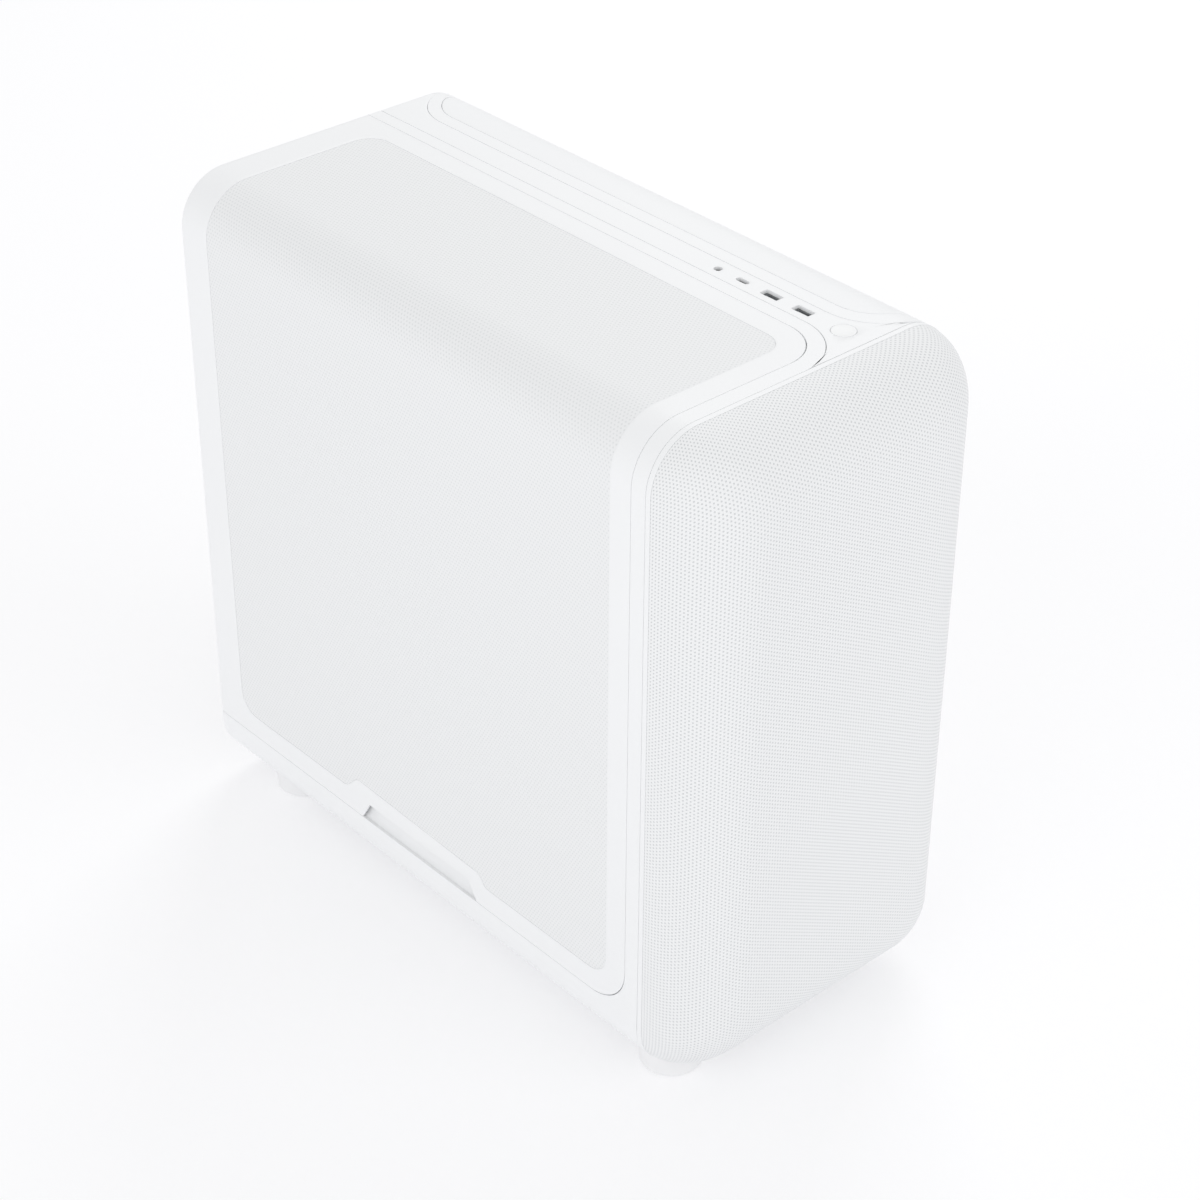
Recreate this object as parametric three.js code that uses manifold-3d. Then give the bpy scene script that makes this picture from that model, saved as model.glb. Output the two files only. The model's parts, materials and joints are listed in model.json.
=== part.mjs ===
import * as THREE from 'three';
import { mergeVertices } from 'three/addons/utils/BufferGeometryUtils.js';
import Module from 'manifold-3d';

const wasm = await Module();
wasm.setup();

// ---- driving dimensions, millimetres, +Z up, front faces -Y, open side faces -X ----
const WIDTH = 240;
const DEPTH = 492;
const HEIGHT = 460;
const FOOT_H = 12;
const XL = -WIDTH / 2;
const XR = WIDTH / 2;
const YF = -DEPTH / 2;
const YR = DEPTH / 2;
const ZB = FOOT_H;
const ZT = FOOT_H + HEIGHT;
const EDGE_R = 35; // long edges, along Y
const FRONT_R = 50; // rounding from the sides into the front
const Y_BEND = YF + FRONT_R;
const SKIN = 2.4;
const SHEET = 1.6;
const SEAM = 1.0; // gap round the side panels
const FINE = 0.3; // gap between neighbouring fixed pieces

// side panels
const LP = { top: 33.5, front: -184, bottom: 54, r: 32 };
const RP = { top: 72.9, front: -184, rear: 237, bottom: 54, r: 32 };
const BAND = 10.5; // frame band between panel and top strip
const MESH_L = { top: 17, front: -166.6, rear: 219, bottom: 71, r: 16 };
const MESH_F = { y: -199.7 };
const FOOT = { r: 19, x: 84, y: [-190, 198] };
const GRIP = { y0: -39.6, y1: 82, z: 68.5, slope: 8.5 };

// top strip
const STRIP_X = (LP.top + BAND + RP.top - BAND) / 2;
const JACK_Y = -71.5;
const USBC_Y = -92.7;
const USBA_Y = [-117.3, -143.6];
const POWER_Y = -176.6;
const POWER_R = 7.7;

// inside
const BOARD = { x: 79, y0: -2, y1: 242, z0: 132, z1: 437, t: 1.6 };
const TRAY_X = 86;
const SHROUD_Z = 112;
const WALL_Y = 243.4;
const FAN = { size: 120, depth: 25, bore: 57, hub: 20 };
const FRONT_FAN_Z = [122, 243.5, 365];
const FRONT_WALL_Y = -168.6;
const PSU = { x0: -64, x1: 86, y0: 92, y1: 241.4, z0: 20, z1: 106 };
const REAR_FAN = { x: -52, z: 384 };
const SLOT_Z0 = 256;
const SLOT_PITCH = 20.32;
const BLADES = 7;

const root = new THREE.Group();
root.name = 'tower_computer';

// ---- finishes ----
const FINISH = {
  white_sheet: [0xe9ebee, 0.5, 0.2],
  white_mesh: [0xdcdfe4, 0.6, 0.2],
  white_plastic: [0xeceef1, 0.45, 0.0],
  filter_cloth: [0xd4d6d8, 0.9, 0.0],
  steel: [0xb9bcc0, 0.4, 0.9],
  black_plastic: [0x1a1a1c, 0.5, 0.0],
  fan_white: [0xe2e4e7, 0.5, 0.0],
  board: [0x20242a, 0.6, 0.0],
  fins: [0xc4c7ca, 0.35, 0.9],
  dark_metal: [0x2a2c30, 0.45, 0.6],
  rubber: [0xd9dadb, 0.85, 0.0],
};

// ---- solids ----
function solidFrom(geometry) {
  let g = geometry.clone();
  g.deleteAttribute('normal');
  g.deleteAttribute('uv');
  g = mergeVertices(g, 1e-4);
  const vertProperties = new Float32Array(g.attributes.position.array);
  const triVerts = new Uint32Array(g.index.array);
  return new wasm.Manifold(new wasm.Mesh({ numProp: 3, vertProperties, triVerts }));
}

function place(name, solid, finish) {
  const mesh = solid.getMesh();
  const g = new THREE.BufferGeometry();
  g.setAttribute('position', new THREE.BufferAttribute(new Float32Array(mesh.vertProperties), 3));
  g.setIndex(new THREE.BufferAttribute(new Uint32Array(mesh.triVerts), 1));
  g.computeVertexNormals();
  const [color, roughness, metalness] = FINISH[finish];
  const m = new THREE.Mesh(g, new THREE.MeshStandardMaterial({ color, roughness, metalness }));
  m.name = name;
  root.add(m);
  return m;
}

function box(x0, x1, y0, y1, z0, z1) {
  const g = new THREE.BoxGeometry(x1 - x0, y1 - y0, z1 - z0);
  g.translate((x0 + x1) / 2, (y0 + y1) / 2, (z0 + z1) / 2);
  return solidFrom(g);
}

// a closed outline pushed out along one axis, from a to b; x takes (y, z), y takes (x, z)
function prism(axis, shape, a, b, curveSegments = 8) {
  const g = new THREE.ExtrudeGeometry(shape, { depth: b - a, bevelEnabled: false, curveSegments });
  if (axis === 'y') {
    g.translate(0, 0, -b);
    g.rotateX(Math.PI / 2);
    return solidFrom(g);
  }
  g.translate(0, 0, a);
  if (axis === 'x') {
    const across = new THREE.Vector3(0, 1, 0);
    const up = new THREE.Vector3(0, 0, 1);
    const along = new THREE.Vector3(1, 0, 0);
    g.applyMatrix4(new THREE.Matrix4().makeBasis(across, up, along));
  }
  return solidFrom(g);
}

// rectangle outline with its own radius at each corner: [lo-lo, hi-lo, hi-hi, lo-hi]
function rounded(u0, u1, v0, v1, radii) {
  const [a, b, c, d] = radii;
  const s = new THREE.Shape();
  s.moveTo(u0 + a, v0);
  s.lineTo(u1 - b, v0);
  if (b > 0) s.absarc(u1 - b, v0 + b, b, -Math.PI / 2, 0, false);
  s.lineTo(u1, v1 - c);
  if (c > 0) s.absarc(u1 - c, v1 - c, c, 0, Math.PI / 2, false);
  s.lineTo(u0 + d, v1);
  if (d > 0) s.absarc(u0 + d, v1 - d, d, Math.PI / 2, Math.PI, false);
  s.lineTo(u0, v0 + a);
  if (a > 0) s.absarc(u0 + a, v0 + a, a, Math.PI, Math.PI * 1.5, false);
  return s;
}

function disc(axis, u, v, r, a, b, segments = 32) {
  const s = new THREE.Shape();
  s.absarc(u, v, r, 0, Math.PI * 2, false);
  return prism(axis, s, a, b, segments);
}

// the outer form: a rounded box whose section shrinks over a quarter turn at the front
function form(inset, yRear = YR) {
  const stations = [[yRear, inset]];
  const turns = 7;
  const r = FRONT_R - inset;
  for (let i = 0; i <= turns; i += 1) {
    const t = (i / turns) * (Math.PI / 2);
    stations.push([Y_BEND - r * Math.sin(t), inset + r * (1 - Math.cos(t))]);
  }
  const ring = ([y, cut]) => {
    const rad = Math.max(EDGE_R - inset - 0.4 * (cut - inset), 4);
    const hx = WIDTH / 2 - cut;
    const hz = HEIGHT / 2 - cut;
    const pts = [];
    for (let q = 0; q < 4; q += 1) {
      const sx = q === 0 || q === 3 ? 1 : -1;
      const sz = q < 2 ? 1 : -1;
      for (let k = 0; k <= 8; k += 1) {
        const a = (q + k / 8) * (Math.PI / 2);
        pts.push([sx * (hx - rad) + rad * Math.cos(a), y, ZB + HEIGHT / 2 + sz * (hz - rad) + rad * Math.sin(a)]);
      }
    }
    return pts;
  };
  const rings = stations.map(ring);
  const n = rings[0].length;
  const pos = rings.flat(2);
  pos.push(0, yRear, ZB + HEIGHT / 2, 0, stations.at(-1)[0], ZB + HEIGHT / 2);
  const index = [];
  for (let s = 0; s < rings.length - 1; s += 1) {
    for (let i = 0; i < n; i += 1) {
      const j = (i + 1) % n;
      index.push(s * n + i, s * n + j, (s + 1) * n + j, s * n + i, (s + 1) * n + j, (s + 1) * n + i);
    }
  }
  const rearMid = rings.length * n;
  for (let i = 0; i < n; i += 1) {
    const j = (i + 1) % n;
    index.push(rearMid, j, i, rearMid + 1, (rings.length - 1) * n + i, (rings.length - 1) * n + j);
  }
  const g = new THREE.BufferGeometry();
  g.setAttribute('position', new THREE.Float32BufferAttribute(pos, 3));
  g.setIndex(index);
  return solidFrom(g);
}

const layer = (a, b) => form(a).subtract(form(b, YR + 10));
const OUTER = layer(0, SKIN);
const LEDGE = layer(SKIN - 0.4, SKIN + 1.4);

// area of the left panel, grown or shrunk by g on its front, top and bottom edges
function leftArea(g, rear = YR + 20) {
  const top = rounded(-200, LP.top + g, LP.front - g, rear, [0, LP.r + g, 0, 0]);
  const side = rounded(LP.front - g, rear, LP.bottom - g, 440, [LP.r + g, 0, 0, 0]);
  return prism('z', top, 430, 600).add(prism('x', side, -200, -70));
}

function rightArea(g) {
  const top = rounded(RP.top - g, 200, RP.front - g, RP.rear + g, [LP.r + g, 0, 0, LP.r + g]);
  const side = rounded(RP.front - g, RP.rear + g, RP.bottom - g, 440, [RP.r + g, RP.r + g, 0, 0]);
  return prism('z', top, 430, 600).add(prism('x', side, 70, 200));
}

// what lies inside the outer line of each frame band, front and bottom included
function leftSide(g) {
  const top = rounded(-200, LP.top + BAND + g, Y_BEND - g + 0.2, YR + 20, [0, LP.r + BAND + g, 0, 0]);
  return prism('z', top, 430, 600).add(box(-200, -85 + g, Y_BEND - g + 0.2, YR + 20, -50, 440));
}

function rightSide(g) {
  const top = rounded(RP.top - BAND - g, 200, Y_BEND - g + 0.2, YR - 0.5 + g, [42, 0, 0, 42]);
  return prism('z', top, 430, 600).add(box(85 - g, 200, Y_BEND - g + 0.2, YR + 20, -50, 440));
}

const BEHIND_FRONT = box(-200, 200, Y_BEND + 0.2, YR + 20, -50, 600);

// ---- outer pieces ----
function leftMeshArea(g) {
  const m = MESH_L;
  const top = rounded(-200, m.top + g, m.front - g, m.rear + g, [0, m.r + g, m.r + g, 0]);
  const side = rounded(m.front - g, m.rear + g, m.bottom - g, 440, [m.r + g, m.r + g, 0, 0]);
  const notch = new THREE.Shape();
  notch.moveTo(GRIP.y0 - 17 + g, 40);
  notch.lineTo(GRIP.y0 - 8 + g, 86 - g);
  notch.lineTo(GRIP.y1 + 8 - g, 86 - g);
  notch.lineTo(GRIP.y1 + 20 - g, 40);
  return prism('z', top, 430, 600)
    .add(prism('x', side, -200, -70))
    .subtract(prism('x', notch, -210, -60));
}

function gripCut() {
  const s = new THREE.Shape();
  s.moveTo(GRIP.y0, LP.bottom - 2);
  s.lineTo(GRIP.y1, LP.bottom - 2);
  s.lineTo(GRIP.y1 - GRIP.slope, GRIP.z);
  s.lineTo(GRIP.y0 + GRIP.slope, GRIP.z);
  return prism('x', s, -200, -60);
}

function stud(x0, x1, y, z) {
  return disc('x', y, z, 2, x0, x1, 3);
}

function leftPanel() {
  let rim = layer(0, SHEET).intersect(leftArea(0)).subtract(leftMeshArea(0)).subtract(gripCut());
  const seat = layer(SHEET - 0.3, SHEET + 0.9).intersect(leftMeshArea(4)).subtract(leftMeshArea(-4));
  rim = rim.add(seat.subtract(gripCut()));
  const foil = layer(0.3, 1.1).intersect(leftMeshArea(-0.3));
  const cloth = layer(SHEET + 1.2, SHEET + 1.8).intersect(leftMeshArea(3));
  for (const y of [-174, 228]) {
    for (const z of [100, 420]) {
      rim = rim.add(stud(XL + 1, XL + 7, y, z));
    }
  }
  place('left_panel', rim, 'white_sheet');
  place('left_mesh', foil, 'white_mesh');
  place('left_filter', cloth, 'filter_cloth');
}

function rightPanel() {
  let sheet = layer(0, SHEET).intersect(rightArea(0));
  for (const y of [-174, 226]) {
    for (const z of [100, 420]) {
      sheet = sheet.add(stud(XR - 7, XR - 1, y, z));
    }
  }
  place('right_panel', sheet, 'white_sheet');
}

function frames() {
  const band = OUTER.intersect(leftSide(0)).subtract(leftArea(SEAM));
  const ledge = LEDGE.intersect(leftArea(SEAM + 1)).subtract(leftArea(-7));
  const grip = gripCut().intersect(box(-200, -100, -300, 300, 0, 200));
  place('left_frame', band.add(ledge.intersect(BEHIND_FRONT).subtract(grip)), 'white_plastic');
  const bandR = OUTER.intersect(rightSide(0)).subtract(rightArea(SEAM));
  const ledgeR = LEDGE.intersect(rightArea(SEAM + 1)).subtract(rightArea(-7));
  place('right_frame', bandR.add(ledgeR.intersect(BEHIND_FRONT)), 'white_plastic');
}

function portHoles() {
  let holes = disc('z', STRIP_X, JACK_Y, 2.7, 460, 480, 10);
  holes = holes.add(prism('z', rounded(STRIP_X - 1.9, STRIP_X + 1.9, USBC_Y - 4.9, USBC_Y + 4.9,
    [1.8, 1.8, 1.8, 1.8]), 460, 480, 4));
  for (const y of USBA_Y) {
    holes = holes.add(box(STRIP_X - 3.2, STRIP_X + 3.2, y - 6.9, y + 6.9, 460, 480));
  }
  return holes.add(disc('z', STRIP_X, POWER_Y, POWER_R + 0.3, 460, 480, 24));
}

function topStrip() {
  const zone = box(-60, 120, Y_BEND + 0.2, YR, 450, 480);
  let strip = OUTER.intersect(zone).subtract(leftSide(FINE)).subtract(rightSide(FINE));
  strip = strip.subtract(portHoles());
  place('top_strip', strip, 'white_plastic');
}

function frontPanel() {
  const m = MESH_F;
  const field = (g) => box(-200, 200, -300, m.y - g, -50, 600);
  const zone = box(-200, 200, -300, Y_BEND, -50, 600);
  let rim = OUTER.intersect(zone).subtract(field(0));
  const seat = layer(SKIN - 0.4, SKIN + 1.2).intersect(zone).subtract(field(4).intersect(zone));
  rim = rim.add(seat);
  for (const x of [-90, 90]) {
    for (const z of [60, 424]) {
      rim = rim.add(box(Math.min(x, x * 1.29), Math.max(x, x * 1.29), -203, -196, z - 5, z + 5)
        .intersect(form(1)));
      rim = rim.add(disc('y', x * 1.08, z, 3, -198, -184, 8));
    }
  }
  place('front_rim', rim, 'white_plastic');
  place('front_mesh', layer(0, 1.0).intersect(field(0.3)), 'white_mesh');
  const cloth = prism('y', rounded(-100, 100, 66, 418, [12, 12, 12, 12]), -201.5, -199.8, 4);
  place('front_filter', cloth, 'filter_cloth');
}

function feet() {
  let i = 1;
  for (const x of [-FOOT.x, FOOT.x]) {
    for (const y of FOOT.y) {
      const pad = disc('z', x, y, FOOT.r - 1.8, 0, 1.6, 24);
      const body = disc('z', x, y, FOOT.r, 1.5, ZB - FINE, 24);
      place(`foot_${i}`, body.add(pad), 'rubber');
      i += 1;
    }
  }
}

// ---- chassis ----
function basePan() {
  let pan = OUTER.intersect(box(-85 + FINE, 85 - FINE, Y_BEND + 0.5, YR, 0, 40));
  const vent = prism('z', rounded(-50, 57, 96, 226, [6, 6, 6, 6]), 0, 40, 4);
  pan = pan.subtract(vent);
  for (let i = 0; i < 5; i += 1) {
    pan = pan.add(box(-51, 58, 114 + i * 22, 118 + i * 22, ZB, ZB + SKIN));
  }
  place('base_pan', pan, 'white_sheet');
  const cloth = prism('z', rounded(-52, 58, 60, 230, [4, 4, 4, 4]), ZB - 3.2, ZB - 0.4, 4);
  place('base_filter', cloth.add(box(-30, 36, 228, 240, ZB - 3.2, ZB - 0.4)), 'black_plastic');
}

function rearWall() {
  const r = EDGE_R - SKIN - 2;
  const e = SKIN + 1.8;
  const s = rounded(XL + e, XR - e, ZB + e, ZT - e, [r, r, r, r]);
  let wall = prism('y', s, WALL_Y, WALL_Y + 1.4);
  wall = wall.subtract(box(34, 78.5, 240, 250, 275, 434));
  wall = wall.subtract(box(PSU.x0 + 3, PSU.x1 - 3, 240, 250, PSU.z0 + 3, PSU.z1 - 3));
  for (let i = 0; i < 7; i += 1) {
    const z = SLOT_Z0 - i * SLOT_PITCH;
    wall = wall.subtract(box(-28, 74, 240, 250, z - 6.6, z + 6.6));
  }
  wall = wall.subtract(disc('y', REAR_FAN.x, REAR_FAN.z, 57, 240, 250, 24));
  wall = wall.add(disc('y', REAR_FAN.x, REAR_FAN.z, 32, WALL_Y, WALL_Y + 1.4, 16)
    .subtract(disc('y', REAR_FAN.x, REAR_FAN.z, 29, 240, 250, 16)));
  for (const [dx, dz] of [[58, 1.5], [1.5, 58]]) {
    wall = wall.add(box(REAR_FAN.x - dx, REAR_FAN.x + dx, WALL_Y, WALL_Y + 1.4,
      REAR_FAN.z - dz, REAR_FAN.z + dz));
  }
  place('rear_wall', wall, 'white_sheet');
}

function frontWall() {
  const s = rounded(-108, 108, ZB + 9, ZT - 22, [24, 24, 14, 14]);
  let wall = prism('y', s, FRONT_WALL_Y, FRONT_WALL_Y + 1.4, 4);
  for (const z of FRONT_FAN_Z) {
    wall = wall.subtract(disc('y', 0, z, FAN.bore, -180, -160, 24));
  }
  place('front_wall', wall, 'white_sheet');
}

function boardTray() {
  let tray = box(TRAY_X, TRAY_X + 1.4, FRONT_WALL_Y + 2, WALL_Y - 0.4, SHROUD_Z + 2, 455);
  tray = tray.subtract(box(80, 90, 60, 170, 320, 420));
  for (const z of [170, 260, 350]) {
    tray = tray.subtract(prism('x', rounded(-58, -28, z - 30, z + 30, [12, 12, 12, 12]), 80, 90, 4));
  }
  for (const y of [8, 120, 230]) {
    for (const z of [142, 284, 428]) {
      tray = tray.add(disc('x', y, z, 3, BOARD.x + BOARD.t + 0.05, TRAY_X + 0.5, 6));
    }
  }
  place('board_tray', tray, 'white_sheet');
}

function shroud() {
  let top = box(-108, 110, FRONT_WALL_Y + 2, WALL_Y - 0.4, SHROUD_Z, SHROUD_Z + 1.4);
  top = top.add(box(-108, -106.6, FRONT_WALL_Y + 2, WALL_Y - 0.4, 46, SHROUD_Z + 1.4));
  for (let i = 0; i < 6; i += 1) {
    top = top.subtract(prism('z', rounded(-80, 60, 20 + i * 16, 28 + i * 16, [3.9, 3.9, 3.9, 3.9]),
      100, 120, 3));
  }
  place('supply_cover', top, 'white_sheet');
  let rail = box(-70, 70, FRONT_WALL_Y + 2, WALL_Y - 0.4, 460, 461.4);
  rail = rail.subtract(prism('z', rounded(-50, 30, -120, 200, [10, 10, 10, 10]), 440, 480, 4));
  rail = rail.subtract(box(40, 66, -200, -55, 440, 480));
  place('roof_rail', rail, 'white_sheet');
}

// ---- fans ----
function fanFrame(name, axis, u, v, a, finish = 'fan_white') {
  const h = FAN.size / 2 - 0.3;
  const b = a + FAN.depth;
  const lugs = rounded(u - h, u + h, v - h, v + h, [6, 6, 6, 6]);
  let frame = prism(axis, lugs, a, b, 3).subtract(disc(axis, u, v, FAN.bore, a - 1, b + 1, 10));
  const arm = (w) => (axis === 'y'
    ? box(u - w[0], u + w[0], b - 3, b, v - w[1], v + w[1])
    : box(b - 3, b, u - w[0], u + w[0], v - w[1], v + w[1]));
  frame = frame.add(arm([h - 1, 2.5])).add(arm([2.5, h - 1]));
  frame = frame.add(disc(axis, u, v, FAN.hub - 1, b - 3, b, 12));
  place(name, frame, finish);
}

// hub with seven leaning blades, one closed body
function rotor(name, axis, u, v, a, depth, reach, hub, finish) {
  const span = reach - hub + 2;
  let body = disc('z', 0, 0, hub, 0, depth, 12);
  for (let i = 0; i < BLADES; i += 1) {
    const g = new THREE.BoxGeometry(span, 1.6, depth * 1.15);
    const p = g.attributes.position;
    for (let k = 0; k < p.count; k += 1) {
      const t = p.getX(k) / span + 0.5;
      const lean = 1.25 - 0.45 * t;
      const w = p.getZ(k) * (1 + 0.7 * t);
      const y = p.getY(k);
      p.setY(k, y * Math.cos(lean) + w * Math.sin(lean) * 0.7);
      p.setZ(k, w * Math.cos(lean) * 0.65 + y * 0.2);
    }
    g.translate(hub - 2 + span / 2, 0, depth / 2);
    g.rotateZ((i / BLADES) * Math.PI * 2);
    body = body.add(solidFrom(g));
  }
  const m = place(name, body, finish);
  if (axis === 'y') {
    m.geometry.rotateX(-Math.PI / 2);
    m.geometry.translate(u, a, v);
  } else {
    m.geometry.translate(u, v, a);
  }
}

function fans() {
  FRONT_FAN_Z.forEach((z, i) => {
    fanFrame(`front_fan_${i + 1}`, 'y', 0, z, FRONT_WALL_Y - 25.3);
    rotor(`front_rotor_${i + 1}`, 'y', 0, z, FRONT_WALL_Y - 24.6, 20, 54.5, FAN.hub, 'fan_white');
  });
  fanFrame('rear_fan', 'y', REAR_FAN.x, REAR_FAN.z, WALL_Y - 25.4);
  rotor('rear_rotor', 'y', REAR_FAN.x, REAR_FAN.z, WALL_Y - 24.7, 20, 54.5, FAN.hub, 'fan_white');
}

// ---- boards and cards ----
function mainboard() {
  const b = BOARD;
  let pcb = box(b.x, b.x + b.t, b.y0, b.y1 - 1, b.z0, b.z1);
  pcb = pcb.add(box(b.x - 9, b.x + 0.2, 20, 110, SLOT_Z0 - 26.5, SLOT_Z0 - 18.5));
  pcb = pcb.add(box(b.x - 9, b.x + 0.2, 20, 110, SLOT_Z0 - 108, SLOT_Z0 - 100));
  pcb = pcb.add(box(b.x - 26, b.x + 0.2, 186, 222, 300, 430));
  pcb = pcb.add(box(b.x - 22, b.x + 0.2, 84, 170, 424.5, 436));
  pcb = pcb.add(box(b.x - 6, b.x + 0.2, 8, 66, 158, 206));
  pcb = pcb.add(box(b.x - 12, b.x + 0.2, 0, 9, 300, 352));
  pcb = pcb.add(box(b.x - 7, b.x + 0.2, 94, 150, 322, 406));
  place('mainboard', pcb, 'board');
  const shield = box(34.5, 78, WALL_Y - 1, WALL_Y - 0.3, 275.5, 433.5);
  let plate = shield;
  for (const [z, hz, x0, x1] of [[420, 7, 40, 72], [400, 7, 40, 72], [376, 7, 40, 72],
    [350, 8, 40, 60], [326, 7, 40, 72], [296, 9, 42, 68]]) {
    plate = plate.subtract(box(x0, x1, 240, 246, z - hz, z + hz));
  }
  place('port_shield', plate, 'steel');
  let sockets = box(44, b.x - 0.3, 222.6, WALL_Y - 1.4, 277, 432);
  for (const [z, hz, x0, x1] of [[420, 6, 42, 70], [400, 6, 42, 70], [376, 6, 42, 70],
    [326, 6, 42, 70]]) {
    sockets = sockets.subtract(box(x0 + 8, x1, 232, 250, z - hz, z - 1.2));
    sockets = sockets.subtract(box(x0 + 8, x1, 232, 250, z + 1.2, z + hz));
  }
  place('port_block', sockets, 'black_plastic');
  for (const [i, y] of [[1, 52], [2, 66]]) {
    place(`memory_${i}`, box(b.x - 33, b.x - 0.3, y, y + 6, 298, 431), 'dark_metal');
  }
}

function cooler() {
  const x1 = BOARD.x - 7.3;
  const x0 = x1 - 145;
  const [y0, y1, z0, z1] = [108, 156, 304, 420];
  let sink = box(x1 - 26, x1, 112, 152, 344, 380);
  for (let i = 0; i < 12; i += 1) {
    const x = x0 + i * 10.2;
    sink = sink.add(box(x, x + 1.6, y0, y1, z0, z1));
  }
  for (const z of [334, 390]) {
    sink = sink.add(box(x0 + 0.4, x1 - 10, 129, 135, z - 3, z + 3));
  }
  sink = sink.add(box(x1 - 22, x1 - 4, 128, 136, 326, 398));
  place('cooler_sink', sink, 'fins');
  const u = (x0 + x1) / 2 - 14;
  fanFrame('cooler_fan', 'y', u, 362, y0 - 25.4);
  rotor('cooler_rotor', 'y', u, 362, y0 - 24.7, 20, 54.5, FAN.hub, 'fan_white');
}

function slotCovers() {
  let n = 1;
  for (const i of [0, 3, 4, 5, 6]) {
    const z = SLOT_Z0 - i * SLOT_PITCH;
    let cover = box(-34, 77, WALL_Y - 1.3, WALL_Y - 0.3, z - 9.1, z + 9.1);
    cover = cover.add(box(-34, -33, WALL_Y - 11, WALL_Y - 0.4, z - 9.1, z + 9.1));
    for (const dz of [-4, 0, 4]) {
      cover = cover.subtract(box(-20, 66, 240, 250, z + dz - 0.9, z + dz + 0.9));
    }
    place(`slot_cover_${n}`, cover, 'white_sheet');
    n += 1;
  }
}

function graphicsCard() {
  const z1 = SLOT_Z0 - SLOT_PITCH + 2;
  const top = BOARD.x - 0.3;
  let pcb = box(-40, top - 10, 0, 238, z1, z1 + 1.6);
  const bracket = box(-34, 77, WALL_Y - 1.3, WALL_Y - 0.3, z1 - 30, z1 + 6)
    .add(box(-30, 60, 236, WALL_Y - 1, z1, z1 + 1.6));
  place('graphics_board', pcb.add(bracket), 'board');
  const [x0, x1, y0, y1] = [-44, 66, -28, 232];
  let cover = box(x0, x1, y0, y1, z1 - 36, z1 - 0.3);
  cover = cover.subtract(box(x0 + 3, x1 - 3, y0 + 3, y1 + 5, z1 - 30, z1 - 10));
  const mids = [40, 145];
  for (const y of mids) {
    cover = cover.subtract(disc('z', (x0 + x1) / 2, y, 46, z1 - 40, z1 - 11, 24));
  }
  for (let i = 0; i < 12; i += 1) {
    cover = cover.add(box(x0 + 4, x1 - 4, y0 + 14 + i * 18, y0 + 16 + i * 18, z1 - 15, z1 - 4));
  }
  place('graphics_cover', cover, 'white_plastic');
  mids.forEach((y, i) => {
    rotor(`graphics_rotor_${i + 1}`, 'z', (x0 + x1) / 2, y, z1 - 34, 14, 43.5, 16, 'fan_white');
  });
}

// ---- power supply ----
function powerSupply() {
  const p = PSU;
  const midX = (p.x0 + p.x1) / 2;
  const midY = (p.y0 + p.y1) / 2 - 4;
  let can = box(p.x0, p.x1, p.y0, p.y1, p.z0, p.z1);
  can = can.subtract(box(p.x0 + 1.2, p.x1 - 1.2, p.y0 + 1.2, p.y1 - 1.2, p.z0 + 1.2, p.z1 - 1.2));
  can = can.subtract(disc('z', midX, midY, 61, p.z0 - 2, p.z0 + 3, 24));
  for (const [dx, dy] of [[62, 2], [2, 62]]) {
    can = can.add(box(midX - dx, midX + dx, midY - dy, midY + dy, p.z0, p.z0 + 1.2));
  }
  can = can.subtract(box(40, 68, 235, 250, 50, 74));
  can = can.subtract(box(44.5, 63.5, 235, 250, 80, 94));
  for (let i = 0; i < 6; i += 1) {
    const x = -52 + i * 14;
    can = can.subtract(box(x, x + 8, 235, 250, 32, 94));
  }
  for (let i = 0; i < 4; i += 1) {
    can = can.subtract(box(-48 + i * 30, -28 + i * 30, p.y0 - 5, p.y0 + 5, 60, 72));
  }
  place('supply_can', can, 'dark_metal');
  rotor('supply_rotor', 'z', midX, midY, p.z0 + 4, 14, 57, 18, 'black_plastic');
  place('supply_core', box(p.x0 + 8, p.x1 - 8, p.y0 + 8, p.y1 - 26, p.z0 + 24, p.z1 - 8), 'board');
  let inlet = box(40.3, 67.7, 226, WALL_Y - 0.5, 50.3, 73.7);
  inlet = inlet.subtract(box(43, 65, 232, 250, 53, 71));
  for (const [x, z] of [[48, 59], [60, 59], [54, 65]]) {
    inlet = inlet.add(box(x - 1, x + 1, 231, 241, z - 2, z + 2));
  }
  place('supply_inlet', inlet, 'black_plastic');
  const rocker = new THREE.Shape();
  rocker.moveTo(241.5, 80.6);
  rocker.lineTo(244.6, 80.6);
  rocker.lineTo(242.8, 87);
  rocker.lineTo(243.2, 93.4);
  rocker.lineTo(236.5, 93.4);
  rocker.lineTo(236.5, 80.6);
  place('supply_rocker', prism('x', rocker, 45, 63), 'black_plastic');
}

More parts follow.
